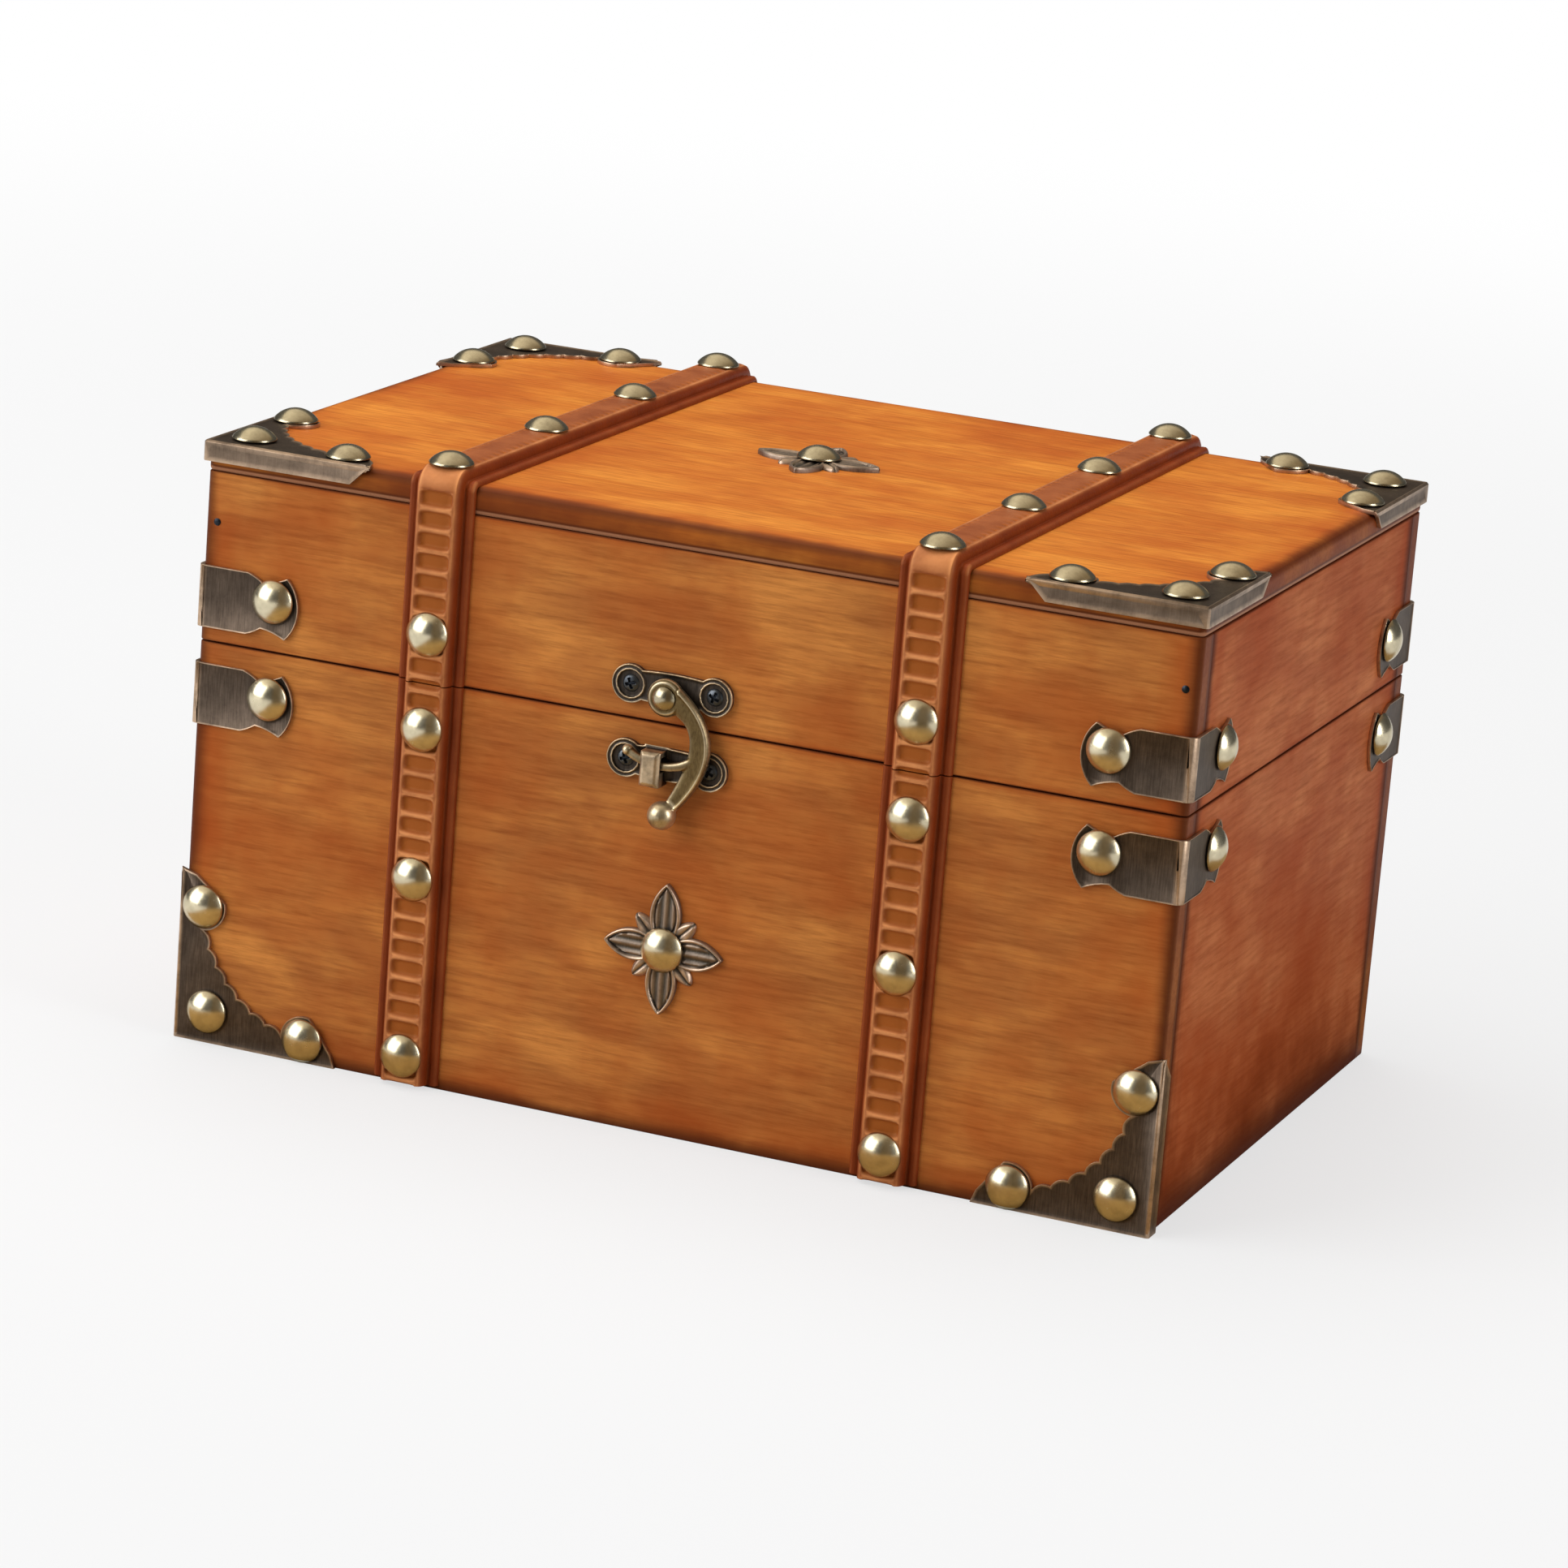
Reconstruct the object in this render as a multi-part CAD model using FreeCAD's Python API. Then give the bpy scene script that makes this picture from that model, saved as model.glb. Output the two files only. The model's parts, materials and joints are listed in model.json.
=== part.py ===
import FreeCAD, Part
import math
import os

# Small flat-topped keepsake chest: a nailed wooden box, a hinged lid a third of its height, two raised
# leather straps, sheet-metal corners, dome nails, two flower ornaments and a horn-shaped swing latch.
# Millimetres. X runs to the right seen from the front, the front faces -Y, and the box stands on Z = 0.

os.makedirs("parts", exist_ok=True)
V = FreeCAD.Vector

# Wooden carcass
BOX_WIDTH = 248.0
BOX_DEPTH = 166.0
BODY_HEIGHT = 98.5
SEAM_GAP = 0.3
LID_RAIL_HEIGHT = 41.0
TOP_THICK = 6.4
WALL = 6.5
BOTTOM_THICK = 4.0
ARRIS = 1.5

# Leather straps: a flat stitched edge on each side of a raised bead with a ladder of sunk cells
STRAP_INSET = 62.8
STRAP_SHIFT = -1.4
STRAP_WIDTH = 16.6
STRAP_EDGE_THICK = 1.3
STRAP_BEAD_WIDTH = 11.4
STRAP_THICK = 4.0
STRAP_SHOULDER = 1.0
STRAP_FOOT_GAP = 1.0
STRAP_BACK_GAP = 3.5
BEND_EASE = 0.3
LADDER_WIDTH = 8.6
LADDER_CELL = 3.8
LADDER_PITCH = 5.0
LADDER_START = 4.1
LADDER_DEPTH = 0.5

# Sheet-metal corners
IRON_THICK = 1.0
IRON_LEG = 42.5
IRON_TIP_WIDTH = 3.2
IRON_TIP_SLOPE = 1.2
IRON_FLANGE = 5.0
IRON_FOLD_EASE = 0.5
IRON_END_NAIL_ALONG = 33.7
IRON_END_NAIL_IN = 5.4
IRON_CORNER_NAIL = 7.8
IRON_BOSS_RADIUS = 5.9
IRON_BOSS_START = 75.0
IRON_BOSS_END = 175.0
IRON_MIDDLE = 14.0
IRON_LOBES = 7
IRON_LOBE_RISE = 0.9

# Wraps round the upright corners, a strip with an axe-shaped end on each wing
WRAP_THICK = 1.0
WRAP_HEIGHT = 15.0
WRAP_STRIP = 12.5
WRAP_NECK_AT = 16.4
WRAP_NECK = 11.2
WRAP_TIP_AT = 22.8
WRAP_TIP_HEIGHT = 15.0
WRAP_END = 26.0
WRAP_NAIL_AT = 19.4
WRAP_NAIL_RISE = 1.4
LID_WRAP_RISE = 11.0
BODY_WRAP_DROP = 12.7

# Dome nails with square shanks, used on every fitting
NAIL_DIAMETER = 10.4
NAIL_HEIGHT = 3.7
NAIL_SHOULDER_DIAMETER = 7.7
NAIL_SHOULDER_HEIGHT = 2.4
NAIL_SIDES = 12
NAIL_SHANK = 1.4
NAIL_BITE = 4.5
NAIL_POINT = 1.5
PUNCH_CLEARANCE = 0.1
LID_STRAP_NAIL_RISE = 12.0
BODY_STRAP_NAIL_DROPS = (10.8, 47.2)
BODY_STRAP_NAIL_FOOT = 7.9
TOP_STRAP_NAIL_FRONT_INSET = 3.2
TOP_STRAP_NAIL_BACK_INSET = 6.6
TOP_STRAP_NAIL_COUNT = 4

# Flower ornaments
FLOWER_THICK = 1.4
FLOWER_PETAL_UP = 15.9
FLOWER_PETAL_ACROSS = 15.0
FLOWER_PETAL_WIDTH = 7.8
FLOWER_LEAF = 10.5
FLOWER_LEAF_WIDTH = 3.8
FLOWER_FIELD_START = 5.6
FLOWER_FIELD_WIDTH = 4.8
FLOWER_FIELD_SINK = 0.5
FLOWER_TIP = 2.2
FLOWER_RIB = 1.1
FRONT_FLOWER_X = 1.0
FRONT_FLOWER_DROP = 53.4
TOP_FLOWER_X = -3.0

# Horn latch: plate with a riveted swing arm on the lid, catch plate with a bridge on the box
LATCH_X = -1.3
LATCH_PLATE_RISE = 8.4
CATCH_PLATE_DROP = 9.3
LATCH_PLATE_LENGTH = 30.2
LATCH_PLATE_THICK = 1.6
LATCH_LOBE_RADIUS = 4.6
LATCH_LOBE_TURN = 50.0
LATCH_WAIST = 7.8
LATCH_RIM = 1.3
LATCH_PAN_DEPTH = 0.8
PAN_SIDES = 16
PIVOT_X = -0.7
PIVOT_DROP = 1.5
ARM_LIFT = 0.3
ARM_THICK = 2.2
EYE_RADIUS = 4.5
EYE_OUTER_TURN = 42.0
EYE_INNER_TURN = -53.0
HORN_BULGE = 12.0
HORN_WIDTH = 5.2
HORN_MIDDLE_DROP = 11.5
KNOB_X = 1.5
KNOB_DROP = 27.5
KNOB_RADIUS = 3.4
KNOB_RINGS = 4
KNOB_LIFT = 0.6
KNOB_NECK = 2.6
TONGUE_THICK = 1.8
TONGUE_TIP_TURN = 32.0
TONGUE_ROOT_TURN = 40.0
TONGUE_TIP_RADIUS = 1.1
TONGUE_SIDE_CLEARANCE = 0.5
TONGUE_FACE_CLEARANCE = 0.5
BRIDGE_LEFT = 5.2
BRIDGE_WIDTH = 5.0
BRIDGE_THICK = 1.2
BRIDGE_TOP_LEG = 1.4
BRIDGE_FOOT_LEG = 3.6
BRIDGE_EASE = 0.8
RIVET_RADIUS = 1.3
RIVET_HEAD_RADIUS = 2.8
RIVET_CROWN_RADIUS = 1.8
RIVET_SHOULDER_HEIGHT = 1.0
RIVET_HEAD_HEIGHT = 1.5
RIVET_RUNNING = 0.06
RIVET_HEAD_GAP = 0.15

# Rear butt hinges, laid flat on the back face
HINGE_STRAP_GAP = 7.0
HINGE_LENGTH = 22.0
HINGE_LEAF = 14.0
HINGE_LEAF_THICK = 1.0
HINGE_KNUCKLE_RADIUS = 2.0
HINGE_KNUCKLE_GAP = 0.3
HINGE_PIN_RADIUS = 1.0
HINGE_RUNNING = 0.05

# Planes that the pieces are set against
RIGHT = BOX_WIDTH / 2
LEFT = -RIGHT
BACK = BOX_DEPTH / 2
FRONT = -BACK
SEAM_LOW = BODY_HEIGHT
SEAM_HIGH = BODY_HEIGHT + SEAM_GAP
SEAM = (SEAM_LOW + SEAM_HIGH) / 2
TOP_UNDER = SEAM_HIGH + LID_RAIL_HEIGHT
TOP = TOP_UNDER + TOP_THICK
STRAP_X = RIGHT - STRAP_INSET
BEND_RADIUS = ARRIS - BEND_EASE
TINY = 1e-4
X_AXIS = V(1, 0, 0)
Y_AXIS = V(0, 1, 0)
Z_AXIS = V(0, 0, 1)
ORIGIN = V(0, 0, 0)

parts = {}


def box(x0, x1, y0, y1, z0, z1):
    return Part.makeBox(x1 - x0, y1 - y0, z1 - z0, V(x0, y0, z0))


def line(a, b):
    return Part.LineSegment(a, b).toShape()


def arc(a, b, c):
    return Part.Arc(a, b, c).toShape()


def plate(edges, travel):
    return Part.Face(Part.Wire(edges)).extrude(travel)


def eased(shape, size, wanted):
    edges = [edge for edge in shape.Edges if wanted(edge)]
    return shape.makeChamfer(size, edges)


def upright(edge):
    first, last = edge.Vertexes[0].Point, edge.Vertexes[-1].Point
    return abs(first.x - last.x) < TINY and abs(first.y - last.y) < TINY


def mirror_x(shape):
    return shape.mirror(ORIGIN, X_AXIS)


def mirror_y(shape):
    return shape.mirror(ORIGIN, Y_AXIS)


def facing(shape, outward, point):
    """Turns a piece made along +Z to face outward and sets its foot on the point."""
    turned = shape.copy()
    turned.Placement = FreeCAD.Placement(point, FreeCAD.Rotation(Z_AXIS, outward))
    return turned


# Four walls of the box and of the lid: front and back run the full width, the sides fit between them
def walls(low, high):
    front = box(LEFT, RIGHT, FRONT, FRONT + WALL, low, high)
    outer = lambda edge: upright(edge) and abs(edge.Vertexes[0].Y - FRONT) < TINY
    front = eased(front, ARRIS, outer)
    right = box(RIGHT - WALL, RIGHT, FRONT + WALL, BACK - WALL, low, high)
    return {"front": front, "back": mirror_y(front), "right": right, "left": mirror_x(right)}


for side, wall in walls(0, SEAM_LOW).items():
    parts["body_" + side + "_panel"] = wall
for side, wall in walls(SEAM_HIGH, TOP_UNDER).items():
    parts["lid_" + side + "_rail"] = wall

parts["body_bottom_panel"] = box(LEFT + WALL, RIGHT - WALL, FRONT + WALL, BACK - WALL, 0, BOTTOM_THICK)


# Top panel: lies on the rails and shows its edge all round, with every outer corner eased
def top_panel():
    slab = box(LEFT, RIGHT, FRONT, BACK, TOP_UNDER, TOP)
    above = lambda edge: edge.Vertexes[0].Z + edge.Vertexes[-1].Z > 2 * TOP - TINY
    return eased(slab, ARRIS, lambda edge: upright(edge) or above(edge))


parts["lid_top_panel"] = top_panel()


# A solid of stacked regular polygons that ends in a point, such as a forged nail head or a square shank
def pointed(sides, stages, tip):
    def ring(radius, z):
        turns = [2 * math.pi * (i + 0.5) / sides for i in range(sides)]
        return [V(radius * math.cos(turn), radius * math.sin(turn), z) for turn in turns]

    def facet(points):
        return Part.Face(Part.makePolygon(points + points[:1]))

    rings = [ring(radius, z) for radius, z in stages]
    faces = [facet(rings[0])]
    for low, high in zip(rings, rings[1:]):
        faces += [facet([low[i - 1], low[i], high[i], high[i - 1]]) for i in range(sides)]
    faces += [facet([rings[-1][i - 1], rings[-1][i], V(0, 0, tip)]) for i in range(sides)]
    return Part.Solid(Part.Shell(faces))


# Dome nail: its seat at the origin, its dome along +Z and its shank below, through a fitting into the wood
def dome_nail(through):
    head = [(NAIL_DIAMETER / 2, 0), (NAIL_SHOULDER_DIAMETER / 2, NAIL_SHOULDER_HEIGHT)]
    length = through + NAIL_BITE
    half_diagonal = NAIL_SHANK / math.sqrt(2)
    shank = [(half_diagonal, 0), (half_diagonal, NAIL_POINT - length)]
    dome = pointed(NAIL_SIDES, head, NAIL_HEIGHT)
    return dome.fuse(pointed(4, shank, -length)).removeSplitter()


def punched(fitting, seats, through):
    """Cuts the square nail holes of a fitting; each seat is a point on its outer face and the way out."""
    half = NAIL_SHANK / 2 + PUNCH_CLEARANCE
    for point, outward in seats:
        hole = box(-half, half, -half, half, -through, 0)
        fitting = fitting.cut(facing(hole, outward, point))
    return fitting


def nail_group(seats, through):
    return Part.makeCompound([facing(dome_nail(through), outward, point) for point, outward in seats])


# Strap section at a height on the front face: x across the strap, depth out of the box
def strap_section(z):
    edge = STRAP_WIDTH / 2
    bead = STRAP_BEAD_WIDTH / 2
    crown = bead - STRAP_SHOULDER
    half = [
        (edge, 0),
        (edge, STRAP_EDGE_THICK),
        (bead, STRAP_EDGE_THICK),
        (bead, STRAP_THICK - STRAP_SHOULDER),
        (crown, STRAP_THICK),
    ]
    outline = half + [(-x, depth) for x, depth in reversed(half)]
    points = [V(STRAP_X + x, FRONT - depth, z) for x, depth in outline]
    return Part.Face(Part.makePolygon(points + points[:1]))


# Ladder of sunk cells from the seam to the far end of a strap, left out where a nail sits
def ladder(strap, seam_end, far_end, nail_heights):
    room = (NAIL_DIAMETER + LADDER_CELL) / 2
    count = 1 + int((abs(far_end - seam_end) - LADDER_START - LADDER_CELL / 2) / LADDER_PITCH)
    way = math.copysign(1, far_end - seam_end)
    face = FRONT - STRAP_THICK
    cells = []
    for step in range(count):
        z = seam_end + way * (LADDER_START + step * LADDER_PITCH)
        if all(abs(z - nail) > room for nail in nail_heights):
            x0 = STRAP_X - LADDER_WIDTH / 2
            z0 = z - LADDER_CELL / 2
            cells.append(box(x0, x0 + LADDER_WIDTH, face, face + LADDER_DEPTH, z0, z0 + LADDER_CELL))
    return strap.cut(cells)


lid_strap_nail_z = SEAM + LID_STRAP_NAIL_RISE
body_strap_nail_z = [SEAM - drop for drop in BODY_STRAP_NAIL_DROPS] + [BODY_STRAP_NAIL_FOOT]


# The lid strap climbs the front, bends over the edge, crosses the top, bends again and comes down the back
def lid_strap():
    bend_z = TOP - BEND_RADIUS
    bend_y = BACK - BEND_RADIUS
    rise = strap_section(SEAM_HIGH).extrude(V(0, 0, bend_z - SEAM_HIGH))
    front_bend = strap_section(bend_z).revolve(V(0, -bend_y, bend_z), X_AXIS, -90)
    crossing = strap_section(bend_z)
    crossing.rotate(V(0, -bend_y, bend_z), X_AXIS, -90)
    crossing = crossing.extrude(V(0, 2 * bend_y, 0))
    foot = SEAM_HIGH + STRAP_BACK_GAP
    fall = mirror_y(strap_section(foot).extrude(V(0, 0, bend_z - foot)))
    strap = rise.fuse([front_bend, crossing, mirror_y(front_bend), fall]).removeSplitter()
    return ladder(strap, SEAM_HIGH, bend_z, [lid_strap_nail_z])


def body_strap():
    strap = strap_section(STRAP_FOOT_GAP).extrude(V(0, 0, SEAM_LOW - STRAP_FOOT_GAP))
    return ladder(strap, SEAM_LOW, STRAP_FOOT_GAP, body_strap_nail_z)


def shortened(strap):
    """The back strap stops short of the seam, so that it clears the lid strap when the lid is open."""
    gap = box(LEFT, RIGHT, FRONT - STRAP_THICK, FRONT, SEAM_LOW - STRAP_BACK_GAP, SEAM_LOW)
    return strap.cut(gap)


def strap_seats(front_z, back_z, top_y):
    outer = BACK + STRAP_THICK
    seats = [(V(STRAP_X, -outer, z), -Y_AXIS) for z in front_z]
    seats += [(V(STRAP_X, outer, z), Y_AXIS) for z in back_z]
    seats += [(V(STRAP_X, y, TOP + STRAP_THICK), Z_AXIS) for y in top_y]
    return seats


top_first = FRONT + TOP_STRAP_NAIL_FRONT_INSET
top_step = (BACK - TOP_STRAP_NAIL_BACK_INSET - top_first) / (TOP_STRAP_NAIL_COUNT - 1)
top_strap_nail_y = [top_first + top_step * i for i in range(TOP_STRAP_NAIL_COUNT)]
lid_strap_seats = strap_seats([lid_strap_nail_z], [lid_strap_nail_z], top_strap_nail_y)
front_strap_seats = strap_seats(body_strap_nail_z, [], [])
back_strap_seats = strap_seats([], body_strap_nail_z, [])

# The nails pierce the leather, which closes tight on them, so the straps have no holes of their own.
# Both straps are set a little to the left of where they would be even.
def shifted(shape):
    moved = shape.copy()
    moved.translate(V(STRAP_SHIFT, 0, 0))
    return moved


for node, strap in (
    ("lid_strap", lid_strap()),
    ("body_front_strap", body_strap()),
    ("body_back_strap", mirror_y(shortened(body_strap()))),
):
    parts[node + "_right"] = shifted(strap)
    parts[node + "_left"] = shifted(mirror_x(strap))


def both_sides(group):
    return Part.makeCompound(group.Solids + mirror_x(group).Solids)


body_strap_seats = front_strap_seats + back_strap_seats
parts["lid_strap_nails"] = shifted(both_sides(nail_group(lid_strap_seats, STRAP_THICK)))
parts["body_strap_nails"] = shifted(both_sides(nail_group(body_strap_seats, STRAP_THICK)))


# Corner iron: a triangular plate whose long side is a hollow curve edged with small lobes. It is made at a
# wooden corner at the origin, with the wood at x > 0, y > 0 and z < 0, and laps over the edges it folds round.
def iron_outline(lap_x, lap_y):
    nail = (IRON_END_NAIL_ALONG, IRON_END_NAIL_IN)

    def on_boss(turn):
        angle = math.radians(turn)
        return nail[0] + IRON_BOSS_RADIUS * math.cos(angle), nail[1] + IRON_BOSS_RADIUS * math.sin(angle)

    boss = [on_boss(turn) for turn in (IRON_BOSS_START, (IRON_BOSS_START + IRON_BOSS_END) / 2, IRON_BOSS_END)]
    x, y = boss[2]
    # The circle through both inner ends of the bosses and the middle of the long side
    centre = (x * x + y * y - 2 * IRON_MIDDLE ** 2) / (2 * (x + y - 2 * IRON_MIDDLE))
    hollow = math.sqrt(2) * (centre - IRON_MIDDLE)
    start = math.atan2(y - centre, x - centre)
    sweep = -1.5 * math.pi - 2 * start

    def on_curve(share, rise):
        angle = start + sweep * share
        return V(centre + (hollow - rise) * math.cos(angle), centre + (hollow - rise) * math.sin(angle), 0)

    def flip(point):
        return V(point.y, point.x, 0)

    corner = V(-lap_x, -lap_y, 0)
    tip = V(IRON_LEG - IRON_TIP_SLOPE, IRON_TIP_WIDTH, 0)
    low = [V(px, py, 0) for px, py in boss]
    end = V(IRON_LEG, -lap_y, 0)
    edges = [line(corner, end), line(end, tip), line(tip, low[0]), arc(*low)]
    for lobe in range(IRON_LOBES):
        a = on_curve(lobe / IRON_LOBES, 0)
        b = on_curve((lobe + 0.5) / IRON_LOBES, IRON_LOBE_RISE)
        c = on_curve((lobe + 1) / IRON_LOBES, 0)
        edges.append(arc(a, b, c))
    high = [flip(point) for point in reversed(low)]
    edges += [arc(*high), line(high[2], flip(tip)), line(flip(tip), V(-lap_x, IRON_LEG, 0))]
    edges.append(line(V(-lap_x, IRON_LEG, 0), corner))
    return edges


# Flange folded down along the y edge of the wood, its far end cut off at 45 degrees
def iron_flange(lap_y):
    down = IRON_THICK - IRON_FLANGE
    run = IRON_LEG - IRON_FLANGE
    points = [V(0, -lap_y, IRON_THICK), V(0, IRON_LEG, IRON_THICK), V(0, run, down), V(0, -lap_y, down)]
    edges = [line(points[i - 1], points[i]) for i in range(4)]
    return plate(edges, V(-IRON_THICK, 0, 0))


def swap_xy(shape):
    return shape.mirror(ORIGIN, V(1, -1, 0))


def corner_iron(folds):
    lap_y = IRON_THICK if folds == 2 else 0
    iron = plate(iron_outline(IRON_THICK, lap_y), V(0, 0, IRON_THICK)).fuse(iron_flange(lap_y))
    if folds == 2:
        iron = iron.fuse(swap_xy(iron_flange(IRON_THICK)))
    iron = iron.removeSplitter()

    def fold(edge):
        a, b = edge.Vertexes[0].Point, edge.Vertexes[-1].Point
        at_x = abs(a.x + IRON_THICK) < TINY and abs(b.x + IRON_THICK) < TINY
        at_y = folds == 2 and abs(a.y + IRON_THICK) < TINY and abs(b.y + IRON_THICK) < TINY
        at_z = abs(a.z - IRON_THICK) < TINY and abs(b.z - IRON_THICK) < TINY
        return (at_x and at_z) or (at_y and at_z) or (at_x and at_y)

    return eased(iron, IRON_FOLD_EASE, fold)


iron_nails = [
    (IRON_END_NAIL_ALONG, IRON_END_NAIL_IN),
    (IRON_END_NAIL_IN, IRON_END_NAIL_ALONG),
    (IRON_CORNER_NAIL, IRON_CORNER_NAIL),
]
iron_seats = [(V(x, y, IRON_THICK), Z_AXIS) for x, y in iron_nails]
iron_nail_set = nail_group(iron_seats, IRON_THICK)
lid_corner = FreeCAD.Placement(V(LEFT, FRONT, TOP), FreeCAD.Rotation())
base_corner = FreeCAD.Placement(V(LEFT, FRONT, 0), FreeCAD.Rotation(X_AXIS, 90))


def at_corner(shape, placement):
    placed = shape.copy()
    placed.Placement = placement.multiply(placed.Placement)
    return placed


def all_corners(group):
    front = both_sides(group)
    return Part.makeCompound(front.Solids + mirror_y(front).Solids)


lid_iron = at_corner(punched(corner_iron(2), iron_seats, IRON_THICK), lid_corner)
base_iron = at_corner(punched(corner_iron(1), iron_seats, IRON_THICK), base_corner)
parts["lid_front_irons"] = both_sides(lid_iron)
parts["lid_back_irons"] = mirror_y(parts["lid_front_irons"])
parts["lid_iron_nails"] = all_corners(at_corner(iron_nail_set, lid_corner))
parts["base_irons"] = both_sides(base_iron)
parts["base_iron_nails"] = both_sides(at_corner(iron_nail_set, base_corner))


# Corner wrap, front left: one wing on the front face and one on the left face, joined by a quarter bend
def wrap_wing():
    half = WRAP_HEIGHT / 2
    neck = WRAP_NECK / 2
    tip = WRAP_TIP_HEIGHT / 2
    shoulder_at = (WRAP_STRIP + WRAP_NECK_AT) / 2
    shoulder = half - (half - neck) * 0.4
    flare_at = (WRAP_NECK_AT + WRAP_TIP_AT) / 2
    flare = neck + (tip - neck) * 0.3

    def upper(sign):
        strip_end = V(WRAP_STRIP, 0, sign * half)
        neck_end = V(WRAP_NECK_AT, 0, sign * neck)
        tip_end = V(WRAP_TIP_AT, 0, sign * tip)
        return [
            line(V(BEND_RADIUS, 0, sign * half), strip_end),
            arc(strip_end, V(shoulder_at, 0, sign * shoulder), neck_end),
            arc(neck_end, V(flare_at, 0, sign * flare), tip_end),
        ]

    end = arc(V(WRAP_TIP_AT, 0, tip), V(WRAP_END, 0, 0), V(WRAP_TIP_AT, 0, -tip))
    root = line(V(BEND_RADIUS, 0, -half), V(BEND_RADIUS, 0, half))
    return plate(Part.__sortEdges__(upper(1) + [end] + upper(-1) + [root]), V(0, -WRAP_THICK, 0))


def corner_wrap():
    wing = wrap_wing()
    ring = Part.makeCylinder(BEND_RADIUS + WRAP_THICK, WRAP_HEIGHT)
    ring = ring.cut(Part.makeCylinder(BEND_RADIUS, WRAP_HEIGHT))
    reach = BEND_RADIUS + WRAP_THICK
    bend = ring.common(box(-reach, 0, -reach, 0, 0, WRAP_HEIGHT))
    bend.translate(V(BEND_RADIUS, BEND_RADIUS, -WRAP_HEIGHT / 2))
    return wing.fuse([swap_xy(wing), bend]).removeSplitter()


wrap_seats = [
    (V(WRAP_NAIL_AT, -WRAP_THICK, WRAP_NAIL_RISE), -Y_AXIS),
    (V(-WRAP_THICK, WRAP_NAIL_AT, WRAP_NAIL_RISE), -X_AXIS),
]
wrap = punched(corner_wrap(), wrap_seats, WRAP_THICK)
wrap_nail_set = nail_group(wrap_seats, WRAP_THICK)
for level, z in (("lid", SEAM + LID_WRAP_RISE), ("body", SEAM - BODY_WRAP_DROP)):
    here = FreeCAD.Placement(V(LEFT, FRONT, z), FreeCAD.Rotation())
    parts[level + "_front_wraps"] = both_sides(at_corner(wrap, here))
    parts[level + "_back_wraps"] = mirror_y(parts[level + "_front_wraps"])
    parts[level + "_wrap_nails"] = all_corners(at_corner(wrap_nail_set, here))


# Flower ornament: four pointed petals, each with two sunk fields beside a rib, and four short leaves between
# them, with one nail through the middle. On the front the longer petals stand upright, on the top they lie
# along the box.
def lens(start, end, width, low, high):
    """A pointed shape along X between two heights."""
    middle = (start + end) / 2
    first = V(start, 0, low)
    last = V(end, 0, low)
    upper = arc(first, V(middle, width / 2, low), last)
    lower = arc(last, V(middle, -width / 2, low), first)
    return plate([upper, lower], V(0, 0, high - low))


def petal_fields(reach):
    floor = FLOWER_THICK - FLOWER_FIELD_SINK
    sunk = lens(FLOWER_FIELD_START, reach - FLOWER_TIP, FLOWER_FIELD_WIDTH, floor, FLOWER_THICK)
    rib = box(0, reach, -FLOWER_RIB / 2, FLOWER_RIB / 2, 0, FLOWER_THICK)
    return sunk.cut(rib)


def turned(shape, turn):
    shape.rotate(ORIGIN, Z_AXIS, turn)
    return shape


def flower():
    across = FLOWER_PETAL_ACROSS
    up = FLOWER_PETAL_UP
    petals = [(across, 0), (up, 90), (across, 180), (up, 270)]
    pieces = [turned(lens(0, reach, FLOWER_PETAL_WIDTH, 0, FLOWER_THICK), turn) for reach, turn in petals]
    leaf = lens(0, FLOWER_LEAF, FLOWER_LEAF_WIDTH, 0, FLOWER_THICK)
    pieces += [turned(leaf.copy(), turn) for turn in (45, 135, 225, 315)]
    shape = pieces[0].fuse(pieces[1:]).removeSplitter()
    shape = shape.cut([turned(petal_fields(reach), turn) for reach, turn in petals])
    return punched(shape, [(V(0, 0, FLOWER_THICK), Z_AXIS)], FLOWER_THICK)


flower_nail = nail_group([(V(0, 0, FLOWER_THICK), Z_AXIS)], FLOWER_THICK)
front_flower_middle = V(FRONT_FLOWER_X, FRONT, SEAM - FRONT_FLOWER_DROP)
front_flower_at = FreeCAD.Placement(front_flower_middle, FreeCAD.Rotation(X_AXIS, 90))
top_flower_at = FreeCAD.Placement(V(TOP_FLOWER_X, 0, TOP), FreeCAD.Rotation(Z_AXIS, 90))
parts["body_flower"] = at_corner(flower(), front_flower_at)
parts["body_flower_nail"] = at_corner(flower_nail, front_flower_at)
parts["lid_flower"] = at_corner(flower(), top_flower_at)
parts["lid_flower_nail"] = at_corner(flower_nail, top_flower_at)


# Latch plates: two round lobes joined by a waist, each lobe sunk to a pan.
# Latch pieces are drawn facing +Z, x to the right and y up, and then stood up on the front face.
LOBE_X = LATCH_PLATE_LENGTH / 2 - LATCH_LOBE_RADIUS
PAN_RADIUS = LATCH_LOBE_RADIUS - LATCH_RIM
PAN_FLOOR = LATCH_PLATE_THICK - LATCH_PAN_DEPTH
latch_z = SEAM + LATCH_PLATE_RISE
catch_z = SEAM - CATCH_PLATE_DROP
pivot_x = LATCH_X + PIVOT_X
pivot_z = latch_z - PIVOT_DROP


def on_front(shape, x, z):
    return at_corner(shape, FreeCAD.Placement(V(x, FRONT, z), FreeCAD.Rotation(X_AXIS, 90)))


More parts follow.
